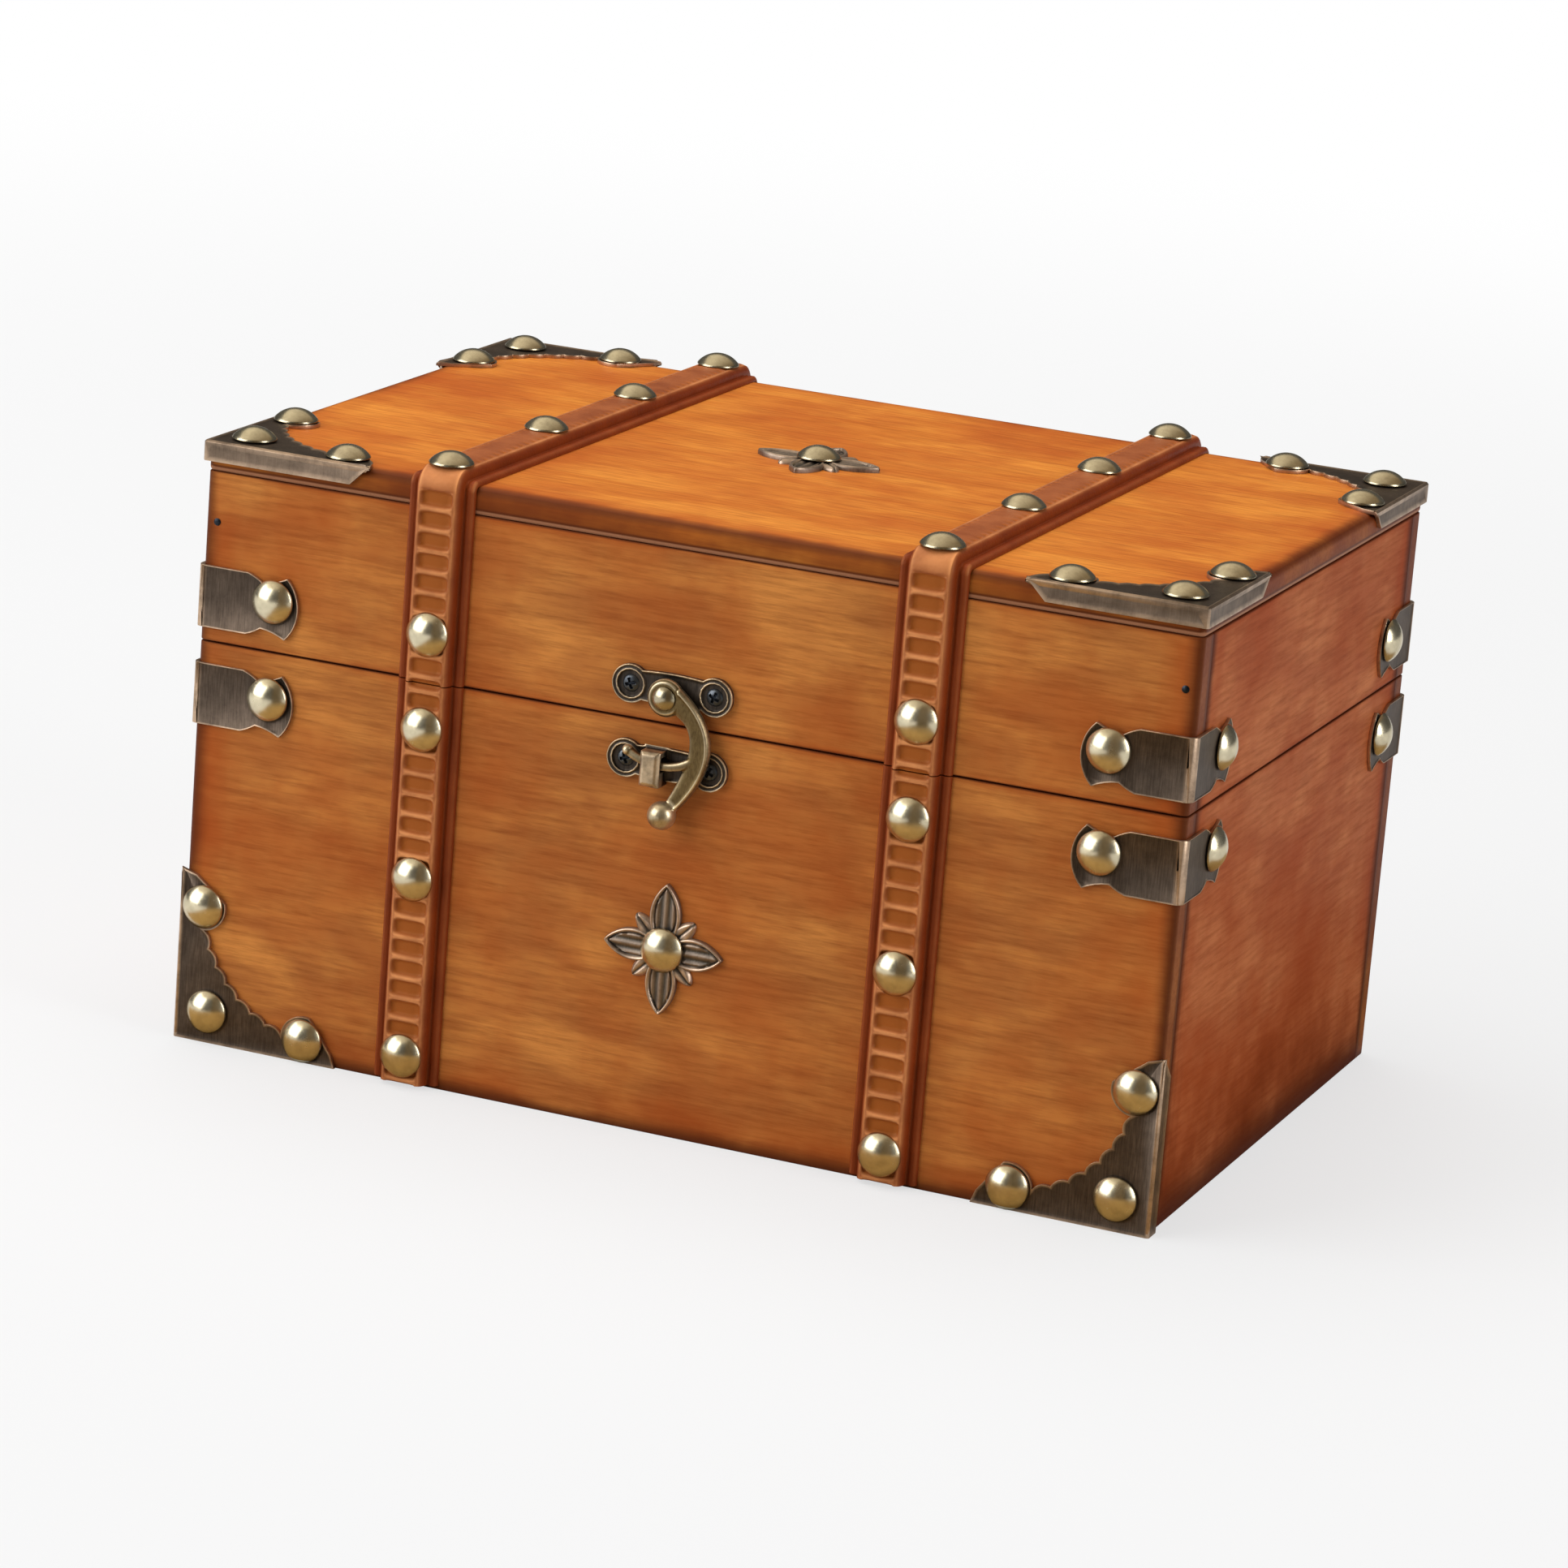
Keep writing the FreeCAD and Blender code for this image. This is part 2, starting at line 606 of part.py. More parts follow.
def latch_plate():
    angle = math.radians(LATCH_LOBE_TURN)
    x = LOBE_X - LATCH_LOBE_RADIUS * math.cos(angle)
    y = LATCH_LOBE_RADIUS * math.sin(angle)
    far = LATCH_PLATE_LENGTH / 2
    waist = LATCH_WAIST / 2
    edges = [
        arc(V(x, -y, 0), V(far, 0, 0), V(x, y, 0)),
        arc(V(x, y, 0), V(0, waist, 0), V(-x, y, 0)),
        arc(V(-x, y, 0), V(-far, 0, 0), V(-x, -y, 0)),
        arc(V(-x, -y, 0), V(0, -waist, 0), V(x, -y, 0)),
    ]
    shape = plate(edges, V(0, 0, LATCH_PLATE_THICK))
    turns = [2 * math.pi * i / PAN_SIDES for i in range(PAN_SIDES)]
    ring = [V(LOBE_X + PAN_RADIUS * math.cos(turn), PAN_RADIUS * math.sin(turn), PAN_FLOOR) for turn in turns]
    pan = plate(Part.makePolygon(ring + ring[:1]).Edges, V(0, 0, LATCH_PAN_DEPTH))
    return shape.cut([pan, mirror_x(pan)])


# The arm turns on the rivet; its tongue is an arc about the rivet, so that it slides through the bridge
TONGUE_RADIUS = pivot_z - catch_z
TONGUE_OUTER = TONGUE_RADIUS + TONGUE_THICK / 2
TONGUE_INNER = TONGUE_RADIUS - TONGUE_THICK / 2
ARM_BACK = LATCH_PLATE_THICK + ARM_LIFT
ARM_FACE = ARM_BACK + ARM_THICK


def about_pivot(radius, turn):
    """A point at a radius from the rivet, turned to the right from straight down."""
    return V(radius * math.sin(math.radians(turn)), -radius * math.cos(math.radians(turn)), 0)


def latch_arm():
    def on_eye(turn):
        return V(EYE_RADIUS * math.cos(math.radians(turn)), EYE_RADIUS * math.sin(math.radians(turn)), 0)

    knob = V(KNOB_X, -KNOB_DROP, 0)
    rings = [math.pi * (i + 1) / (KNOB_RINGS + 1) for i in range(KNOB_RINGS)]
    neck = V(1, -1, 0).normalize() * (KNOB_NECK / 2)
    outer = [on_eye(EYE_OUTER_TURN), V(HORN_BULGE, -HORN_MIDDLE_DROP, 0), knob + neck]
    inner = [knob - neck, V(HORN_BULGE - HORN_WIDTH, -HORN_MIDDLE_DROP, 0), on_eye(EYE_INNER_TURN)]
    thick = V(0, 0, ARM_THICK)
    horn = plate([arc(*outer), line(outer[2], inner[0]), arc(*inner), line(inner[2], outer[0])], thick)
    eye = Part.makeCylinder(EYE_RADIUS, ARM_THICK)
    turns = (-TONGUE_TIP_TURN, (TONGUE_ROOT_TURN - TONGUE_TIP_TURN) / 2, TONGUE_ROOT_TURN)
    under = [about_pivot(TONGUE_OUTER, turn) for turn in turns]
    over = [about_pivot(TONGUE_INNER, turn) for turn in reversed(turns)]
    tongue = plate([arc(*under), line(under[2], over[0]), arc(*over), line(over[2], under[0])], thick)
    tip = Part.makeCylinder(TONGUE_TIP_RADIUS, ARM_THICK, about_pivot(TONGUE_RADIUS, -TONGUE_TIP_TURN))
    stages = [(KNOB_RADIUS * math.sin(turn), -KNOB_RADIUS * math.cos(turn)) for turn in rings]
    ball = pointed(NAIL_SIDES, stages, KNOB_RADIUS)
    ball.translate(knob + V(0, 0, KNOB_RADIUS + KNOB_LIFT - ARM_BACK))
    hole = Part.makeCylinder(RIVET_RADIUS + RIVET_RUNNING, ARM_THICK)
    arm = eye.fuse([horn, tongue, tip, ball]).removeSplitter().cut(hole)
    arm.translate(V(0, 0, ARM_BACK))
    return arm


def rivet():
    seat = ARM_FACE + RIVET_HEAD_GAP
    shank = Part.makeCylinder(RIVET_RADIUS, seat)
    stages = [(RIVET_HEAD_RADIUS, seat), (RIVET_CROWN_RADIUS, seat + RIVET_SHOULDER_HEIGHT)]
    return shank.fuse(pointed(NAIL_SIDES, stages, seat + RIVET_HEAD_HEIGHT)).removeSplitter()


def rivet_hole():
    return Part.makeCylinder(RIVET_RADIUS, LATCH_PLATE_THICK, V(PIVOT_X, -PIVOT_DROP, 0))


# Bridge of the catch: a staple over the tongue, with room round it on all sides
def catch_plate():
    left = -BRIDGE_LEFT
    right = left + BRIDGE_WIDTH
    lift = pivot_z - catch_z
    reach = max(abs(left - PIVOT_X), abs(right - PIVOT_X))
    low = lift - TONGUE_OUTER - TONGUE_SIDE_CLEARANCE
    high = lift - math.sqrt(TONGUE_INNER ** 2 - reach ** 2) + TONGUE_SIDE_CLEARANCE
    inside = ARM_FACE + TONGUE_FACE_CLEARANCE
    outside = inside + BRIDGE_THICK
    staple = box(left, right, low - BRIDGE_FOOT_LEG, high + BRIDGE_TOP_LEG, 0, outside)
    crown = lambda edge: all(abs(vertex.Z - outside) < TINY for vertex in edge.Vertexes)
    staple = eased(staple, BRIDGE_EASE, crown)
    passage = box(left, right, low, high, LATCH_PLATE_THICK, inside)
    return latch_plate().fuse(staple).removeSplitter().cut(passage)


parts["latch_plate"] = on_front(latch_plate().cut(rivet_hole()), LATCH_X, latch_z)
parts["latch_arm"] = on_front(latch_arm(), pivot_x, pivot_z)
parts["latch_rivet"] = on_front(rivet(), pivot_x, pivot_z)
parts["latch_catch_plate"] = on_front(catch_plate(), LATCH_X, catch_z)


# Butt hinge of two knuckles, flat on the back and clear of the straps: the box leaf holds the pin
HINGE_X = STRAP_X + STRAP_SHIFT - STRAP_WIDTH / 2 - HINGE_STRAP_GAP - HINGE_LENGTH / 2
AXIS_Y = BACK + HINGE_KNUCKLE_RADIUS + HINGE_KNUCKLE_GAP
outer_end = HINGE_LENGTH / 2
box_knuckle = (-outer_end, -HINGE_KNUCKLE_GAP / 2)
lid_knuckle = (HINGE_KNUCKLE_GAP / 2, outer_end)


def hinge_leaf(knuckle, way):
    """One leaf at the origin of the hinge axis; way is -1 for the leaf below and 1 for the one above."""
    start, end = knuckle
    back = -HINGE_KNUCKLE_RADIUS - HINGE_KNUCKLE_GAP
    face = back + HINGE_LEAF_THICK
    near = HINGE_KNUCKLE_RADIUS + HINGE_KNUCKLE_GAP
    low, high = sorted((way * near, way * HINGE_LEAF))
    leaf = box(-outer_end, outer_end, back, face, low, high)
    low, high = sorted((0, way * near))
    tab = box(start, end, back, face, low, high)
    barrel = Part.makeCylinder(HINGE_KNUCKLE_RADIUS, end - start, V(start, 0, 0), X_AXIS)
    leaf = leaf.fuse([tab, barrel])
    bore = Part.makeCylinder(HINGE_PIN_RADIUS + HINGE_RUNNING, HINGE_LENGTH, V(-outer_end, 0, 0), X_AXIS)
    return leaf.removeSplitter().cut(bore)


hinge_at = FreeCAD.Placement(V(HINGE_X, AXIS_Y, SEAM), FreeCAD.Rotation())
pin = Part.makeCylinder(HINGE_PIN_RADIUS, HINGE_LENGTH, V(-outer_end, 0, 0), X_AXIS)
for node, shape in (
    ("hinge_box_leaf", hinge_leaf(box_knuckle, -1)),
    ("hinge_lid_leaf", hinge_leaf(lid_knuckle, 1)),
    ("hinge_pin", pin),
):
    parts[node + "_right"] = at_corner(shape, hinge_at)
    parts[node + "_left"] = mirror_x(parts[node + "_right"])

for node, shape in parts.items():
    shape.exportStep("parts/" + node + ".step")
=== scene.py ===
import bmesh
import bpy
import json
import math
import numpy as np
from mathutils import Matrix, Vector


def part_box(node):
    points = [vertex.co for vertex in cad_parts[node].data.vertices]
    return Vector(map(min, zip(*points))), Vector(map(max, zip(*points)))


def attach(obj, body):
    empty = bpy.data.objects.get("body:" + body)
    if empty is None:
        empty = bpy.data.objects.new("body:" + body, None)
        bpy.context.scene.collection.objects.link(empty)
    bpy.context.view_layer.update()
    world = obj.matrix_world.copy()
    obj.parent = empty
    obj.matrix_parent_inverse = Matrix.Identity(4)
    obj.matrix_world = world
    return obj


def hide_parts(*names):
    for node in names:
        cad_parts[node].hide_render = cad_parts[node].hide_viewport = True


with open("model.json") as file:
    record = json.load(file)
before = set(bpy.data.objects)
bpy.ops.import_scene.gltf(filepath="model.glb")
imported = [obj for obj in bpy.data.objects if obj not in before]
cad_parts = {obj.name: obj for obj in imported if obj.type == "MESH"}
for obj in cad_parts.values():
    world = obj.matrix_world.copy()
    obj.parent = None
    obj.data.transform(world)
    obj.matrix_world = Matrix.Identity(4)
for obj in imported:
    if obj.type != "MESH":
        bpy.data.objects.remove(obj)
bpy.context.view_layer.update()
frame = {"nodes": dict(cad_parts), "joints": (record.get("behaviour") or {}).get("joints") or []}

# Walls of the box and rails of the lid: boards of pale, close-grained wood, butted and glued, with the front
# and back over the ends of the sides. Their outer edges are rubbed round, and the stain takes darker there.
MM = 0.001
CORNER_ROUND = 1.5 * MM
EDGE_EASE = 0.3 * MM
ROUND_STEPS = 4
BURNISH_CUTS = [0.8 * MM, 1.8 * MM, 3.5 * MM, 6 * MM, 10 * MM]
NEAR = 0.01 * MM
AXES = [Vector((1, 0, 0)), Vector((0, 1, 0)), Vector((0, 0, 1))]


def linear(colour):
    """A hex sRGB colour as the linear RGBA of a shader socket."""
    shares = [int(colour[i:i + 2], 16) / 255 for i in (1, 3, 5)]
    return [s / 12.92 if s <= 0.04045 else ((s + 0.055) / 1.055) ** 2.4 for s in shares] + [1.0]


def new_material(name):
    material = bpy.data.materials.new(name)
    material.use_nodes = True
    material.node_tree.nodes.clear()
    return material


def node(material, kind, inputs={}, out=0, **settings):
    """Adds a node: its settings, then its inputs, each a value or another node's output."""
    tree = material.node_tree
    made = tree.nodes.new("ShaderNode" + kind)
    for field, value in settings.items():
        setattr(made, field, value)
    for socket, value in inputs.items():
        if isinstance(value, bpy.types.NodeSocket):
            tree.links.new(value, made.inputs[socket])
        else:
            made.inputs[socket].default_value = value
    return made.outputs[out] if made.outputs else made


def stretched(size, along, length):
    """Cycles per metre on each axis of a pattern of this size, drawn out to a length along one axis."""
    return [1 / (length if axis == along else size) for axis in range(3)]


# Birch-like board, stained golden brown, shaded red towards the edges by hand and lacquered satin: soft
# clouds, fine short streaks along the grain, a rubbed dark red brown on the edges and an amber shine.
def stained_wood(name, along, honey="#DA9248", brown="#B07038", red="#AE5E28", shaded="#9E4112",
                 burnt="#4A1D0C", shine=0.35):
    wood = new_material(name)
    place = node(wood, "TexCoord", out="Object")
    spread = node(wood, "Mapping", {"Vector": place, "Scale": stretched(13 * MM, along, 38 * MM)})
    figure = node(wood, "TexNoise", {"Vector": spread, "Scale": 1, "Detail": 3, "Distortion": 0.8})
    figure = node(wood, "MapRange", {"Value": figure, "From Min": 0.36, "From Max": 0.64})
    lines = node(wood, "Mapping", {"Vector": place, "Scale": stretched(1.1 * MM, along, 16 * MM)})
    streaks = node(wood, "TexNoise", {"Vector": lines, "Scale": 1, "Detail": 5, "Roughness": 0.7})
    dark_streaks = node(wood, "MapRange",
                        {"Value": streaks, "From Min": 0.42, "From Max": 0.72, "To Max": 0.52})
    blotches = node(wood, "TexNoise",
                    {"Vector": place, "Scale": 1 / (38 * MM), "Detail": 4, "Roughness": 0.6})
    clouds = node(wood, "MapRange", {"Value": blotches, "From Min": 0.42, "From Max": 0.7, "To Max": 0.8})
    tone = node(wood, "MixRGB", {"Fac": figure, "Color1": linear(honey), "Color2": linear(brown)})
    tone = node(wood, "MixRGB", {"Fac": clouds, "Color1": tone, "Color2": linear(red)})
    tone = node(wood, "MixRGB", {"Fac": dark_streaks, "Color1": tone, "Color2": linear(burnt)})
    edge = node(wood, "Attribute", out="Fac", attribute_name="edge")
    glow = node(wood, "MapRange", {"Value": edge, "From Min": 3, "From Max": 18, "To Min": 1.2, "To Max": 0},
                interpolation_type="SMOOTHSTEP")
    glow = node(wood, "Math", {0: glow, 1: blotches}, operation="MULTIPLY", use_clamp=True)
    tone = node(wood, "MixRGB", {"Fac": glow, "Color1": tone, "Color2": linear(shaded)})
    ragged = node(wood, "Math", {0: blotches, 1: 9.0}, operation="MULTIPLY")
    reach = node(wood, "Math", {0: edge, 1: ragged}, operation="DIVIDE")
    rubbed = node(wood, "MapRange", {"Value": reach, "To Min": 0.95, "To Max": 0},
                  interpolation_type="SMOOTHSTEP")
    tone = node(wood, "MixRGB", {"Fac": rubbed, "Color1": tone, "Color2": linear(burnt)})
    # Painted highlight: a pale pink line where the edge distance is below zero.
    painted_highlight = node(wood, "MapRange", {"Value": edge, "From Min": -1, "From Max": 0, "To Min": 0.5, "To Max": 0})
    tone = node(wood, "MixRGB", {"Fac": painted_highlight, "Color1": tone, "Color2": linear("#C48A66")})
    gloss = node(wood, "MapRange", {"Value": streaks, "To Min": 0.46, "To Max": 0.62})
    relief = node(wood, "Bump", {"Height": streaks, "Strength": 0.12, "Distance": 0.1 * MM})
    shader = node(wood, "BsdfPrincipled",
                  {"Base Color": tone, "Roughness": gloss, "Normal": relief, "IOR": 1.5,
                   "Specular IOR Level": shine, "Specular Tint": linear("#DDA46E")})
    node(wood, "OutputMaterial", {"Surface": shader})
    return wood


def made_piece(name, mesh, material, sharp=40):
    """Turns a bmesh into an object, shaded smooth up to the sharp angle."""
    data = bpy.data.meshes.new(name)
    mesh.normal_update()
    mesh.to_mesh(data)
    mesh.free()
    data.materials.append(material)
    data.shade_smooth()
    data.set_sharp_from_angle(angle=math.radians(sharp))
    made = bpy.data.objects.new(name, data)
    bpy.context.scene.collection.objects.link(made)
    return made


def fit(piece, body, slot, *nodes):
    """Puts a piece on its body, in the place of these CAD nodes; the slot is not used."""
    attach(piece, body)
    if nodes:
        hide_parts(*nodes)


def board(cad_node, rounds, material, low_keep=1, high_keep=1, painted_highlight=0):
    """A board in the place of its CAD node; rounds pairs a radius with the test of the edges that it rounds.
    The keeps narrow the dark band along the lower and upper edge; painted_highlight is the part of
    the lower edge that is painted pale pink as a highlight, marked by an edge distance below zero."""
    low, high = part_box(cad_node)
    mesh = bmesh.new()
    bmesh.ops.create_cube(mesh, size=1, matrix=Matrix.LocRotScale((low + high) / 2, None, high - low))
    for radius, wanted in rounds:
        edges = [edge for edge in mesh.edges if wanted(low, high, *(vert.co for vert in edge.verts))]
        bmesh.ops.bevel(mesh, geom=edges, offset=radius, segments=ROUND_STEPS, profile=0.5, affect="EDGES")
    for axis in range(3):
        cuts = [cut for cut in BURNISH_CUTS if cut < (high[axis] - low[axis]) / 2 - NEAR]
        for at in [low[axis] + cut for cut in cuts] + [high[axis] - cut for cut in cuts]:
            everything = mesh.verts[:] + mesh.edges[:] + mesh.faces[:]
            bmesh.ops.bisect_plane(mesh, geom=everything, plane_co=AXES[axis] * at, plane_no=AXES[axis])
    edge = mesh.verts.layers.float.new("edge")
    for vert in mesh.verts:
        gaps = [min(vert.co[i] - low[i], high[i] - vert.co[i]) for i in range(2)]
        gaps.append(min((vert.co.z - low.z) * low_keep, (high.z - vert.co.z) * high_keep))
        vert[edge] = sorted(gaps)[1] / MM
        # Painted highlight along the lower rim of the outer edges.
        if vert.co.z < low.z + painted_highlight and min(gaps[:2]) < painted_highlight:
            vert[edge] = -1
    return made_piece(cad_node + "_board", mesh, material)


def level_edge(low, high, a, b):
    """An edge of the board's upper or lower rim."""
    return any(abs(a.z - z) < NEAR and abs(b.z - z) < NEAR for z in (low.z, high.z))


def outer_upright(low, high, a, b):
    """An upright edge at the front of a front board, or at the back of a back board."""
    face = low.y if low.y < 0 else high.y
    return abs(a.x - b.x) < NEAR and abs(a.y - face) < NEAR and abs(b.y - face) < NEAR


# The sides took the stain redder than the front and back, and they shine less.
grain_across = stained_wood("stained_birch_grain_across", 0)
grain_deep = stained_wood("stained_birch_grain_deep", 1, honey="#CC8050", brown="#B26840", red="#A2502A",
                          shaded="#933A0E", shine=0.05)
SEAM_KEEP = 8
# On the box's sides the dark red edge band reaches far up from the foot, so the sides grow darker and redder
# towards the bottom: painted shade.
FOOT_PAINTED_SHADE = 0.3
for body, names, low_keep in (("box", "body_%s_panel", 1), ("lid", "lid_%s_rail", SEAM_KEEP)):
    for side in ("front", "back"):
        wall = names % side
        rounds = [(CORNER_ROUND, outer_upright), (EDGE_EASE, level_edge)]
        fit(board(wall, rounds, grain_across, low_keep, SEAM_KEEP), body, "stained_wood", wall)
    for side in ("left", "right"):
        wall = names % side
        rounds = [(EDGE_EASE, level_edge)]
        foot = FOOT_PAINTED_SHADE if body == "box" else low_keep
        fit(board(wall, rounds, grain_deep, foot, SEAM_KEEP), body, "stained_wood", wall)

# Bottom of the box: a thin board of the same stained wood, let in between the walls, flush with their feet,
# and glued there.
bottom = board("body_bottom_panel", [], grain_across)
fit(bottom, "box", "stained_wood", "body_bottom_panel")

# Top of the lid: one wide board glued on the rails, its upper edge rounded over all the way and its lower
# edge eased, so that a dark line runs under it.
TOP_ROUND = 2.2 * MM
TOP_UNDER_EASE = 0.9 * MM
# A pale pink line along the top's lower edge, just above the dark line, is a painted highlight.
TOP_PAINTED_HIGHLIGHT = 1.2 * TOP_UNDER_EASE


def any_upright(low, high, a, b):
    return abs(a.x - b.x) < NEAR and abs(a.y - b.y) < NEAR


def upper_rim(low, high, a, b):
    return abs(a.z - high.z) < NEAR and abs(b.z - high.z) < NEAR


def lower_rim(low, high, a, b):
    return abs(a.z - low.z) < NEAR and abs(b.z - low.z) < NEAR


top_rounds = [(CORNER_ROUND, any_upright), (TOP_ROUND, upper_rim), (TOP_UNDER_EASE, lower_rim)]
# The top has a brighter, more orange copy of the stain: painted light on the face under the lamp above.
top_wood = stained_wood("stained_birch_top", 0, honey="#E8963A", brown="#CE7A2A", red="#BE6422")
top = board("lid_top_panel", top_rounds, top_wood, painted_highlight=TOP_PAINTED_HIGHLIGHT)
fit(top, "lid", "stained_wood", "lid_top_panel")

# Straps: embossed leather over a filler, a flat edge on each side of a raised bead. The ladder of sunk cells
# was pressed in before the strap was bent over the lid, and the raised bars are rubbed pale.
STRAP_EDGE = 1.3 * MM
STRAP_EDGE_TURN = 0.7 * MM
STRAP_EDGE_THINNED = 0.55
STRAP_THICK = 4 * MM
STRAP_SHORT = 3.5 * MM
BEAD_HALF = 5.7 * MM
BEAD_FOOT = 0.05 * MM
BEAD_DROP = 1.3 * MM
CROWN_HALF = 4.7 * MM
CROWN_DROP = 0.35 * MM
CREASE_OUT = 0.5 * MM
CREASE_HALF = 0.25 * MM
CREASE_DEPTH = 0.3 * MM
CELL_HALF = 3.9 * MM
CELL_LENGTH = 3.5 * MM
CELL_DEPTH = 0.9 * MM
CELL_SOFT = 0.45 * MM
CELL_ROUND = 1 * MM
CELL_LIP = 0.55 * MM
CELL_LIP_RISE = 0.2 * MM
CELL_LIP_WEAR = 0.5
BAR_SOFT = 0.5 * MM
LADDER_PITCH = 5 * MM
LADDER_START = 4.1 * MM
BEND_RADIUS = 1.2 * MM
BEND_STEPS = 14
STRAP_STEP = 0.4 * MM
INNER_COLUMNS = 4
TURN_COLUMNS = 12
OUTER_COLUMNS = 9
SHOULDER_SPREAD = 0.45 * MM
SHOULDER_WEAR = 0.45
RIM_IN = 0.4 * MM
RIM_SPREAD = 0.3 * MM
RIM_WEAR = 0.12
CROWN_WEAR = 0.25
BEND_RIM_WEAR = 0.3
BEND_CROWN_WEAR = 0.45
STITCH_PITCH = 3.3 * MM
STITCH_AT = 3.7 * MM
STITCH_LENGTH = 1.9 * MM
STITCH_HALF = 0.3 * MM
STITCH_DEPTH = 0.35 * MM


def eased_step(value, start, end):
    """Rises smoothly from 0 at start to 1 at end, for numbers and arrays."""
    share = np.clip((value - start) / (end - start), 0, 1)
    return share * share * (3 - 2 * share)


# Cowhide, drummed, dyed red brown, embossed hot and waxed: a fine pebble, dark in the hollows and rubbed to a
# pale tan on the bars, with a soft wax shine.
leather = new_material("embossed_waxed_cowhide")
place = node(leather, "TexCoord", out="Object")
pebble = node(leather, "TexVoronoi", {"Vector": place, "Scale": 1 / (0.7 * MM), "Randomness": 1.0},
              feature="SMOOTH_F1")
dye = node(leather, "TexNoise", {"Vector": place, "Scale": 1 / (9 * MM), "Detail": 5, "Roughness": 0.6})
worn = node(leather, "Attribute", out="Fac", attribute_name="worn")
uneven = node(leather, "MapRange",
              {"Value": dye, "From Min": 0.3, "From Max": 0.7, "To Min": 0.5, "To Max": 1.1})
rubbed = node(leather, "Math", {0: worn, 1: uneven}, operation="MULTIPLY", use_clamp=True)
hide = node(leather, "MixRGB", {"Fac": dye, "Color1": linear("#5E1F0A"), "Color2": linear("#8E3B12")})
hide = node(leather, "MixRGB", {"Fac": rubbed, "Color1": hide, "Color2": linear("#DA9058")})
sunk = node(leather, "Attribute", out="Fac", attribute_name="sunk")
hide = node(leather, "MixRGB", {"Fac": sunk, "Color1": hide, "Color2": linear("#A0561F")})
wax = node(leather, "MapRange", {"Value": pebble, "To Min": 0.36, "To Max": 0.55})
grain = node(leather, "Bump", {"Height": pebble, "Strength": 0.25, "Distance": 0.12 * MM})
shader = node(leather, "BsdfPrincipled", {"Base Color": hide, "Roughness": wax, "Normal": grain, "IOR": 1.48,
                                          "Specular IOR Level": 0.4, "Specular Tint": linear("#E4B48C")})
node(leather, "OutputMaterial", {"Surface": shader})


def strap_columns(half_width):
    """Places across a strap, closer together where its section turns."""
    inner = np.linspace(0, CELL_HALF - CELL_SOFT, INNER_COLUMNS)
    turns = np.linspace(CELL_HALF - CELL_SOFT, BEAD_HALF, TURN_COLUMNS)
    outer = np.linspace(BEAD_HALF + BEAD_FOOT, half_width, OUTER_COLUMNS)
    half = np.unique(np.concatenate([inner, turns, outer]))
    return np.concatenate([-half[:0:-1], half])


def strap_section(across, half_width):
    """Height of the plain strap over the wood."""
    out = np.abs(across)
    thinned = STRAP_EDGE_THINNED * eased_step(out, half_width - STRAP_EDGE_TURN, half_width) ** 2
    edge = STRAP_EDGE * (1 - thinned)
    crease = CREASE_DEPTH * np.exp(-((out - BEAD_HALF - CREASE_OUT) / CREASE_HALF) ** 2)
    crown = STRAP_THICK - CROWN_DROP * (out / CROWN_HALF) ** 4
    side = STRAP_THICK - CROWN_DROP - BEAD_DROP * ((out - CROWN_HALF) / (BEAD_HALF - CROWN_HALF)) ** 2
    bead = np.where(out < CROWN_HALF, crown, side)
    return np.where(out <= BEAD_HALF, bead, edge - crease)


def skin_over(mesh, rings):
    """Closes a row of rings, each with as many corners, into one skin with flat ends."""
    for here, ahead in zip(rings, rings[1:]):
        for i in range(len(here)):
            j = (i + 1) % len(here)
            mesh.faces.new((here[i], ahead[i], ahead[j], here[j]))
    mesh.faces.new(rings[0])
    mesh.faces.new(rings[-1][::-1])


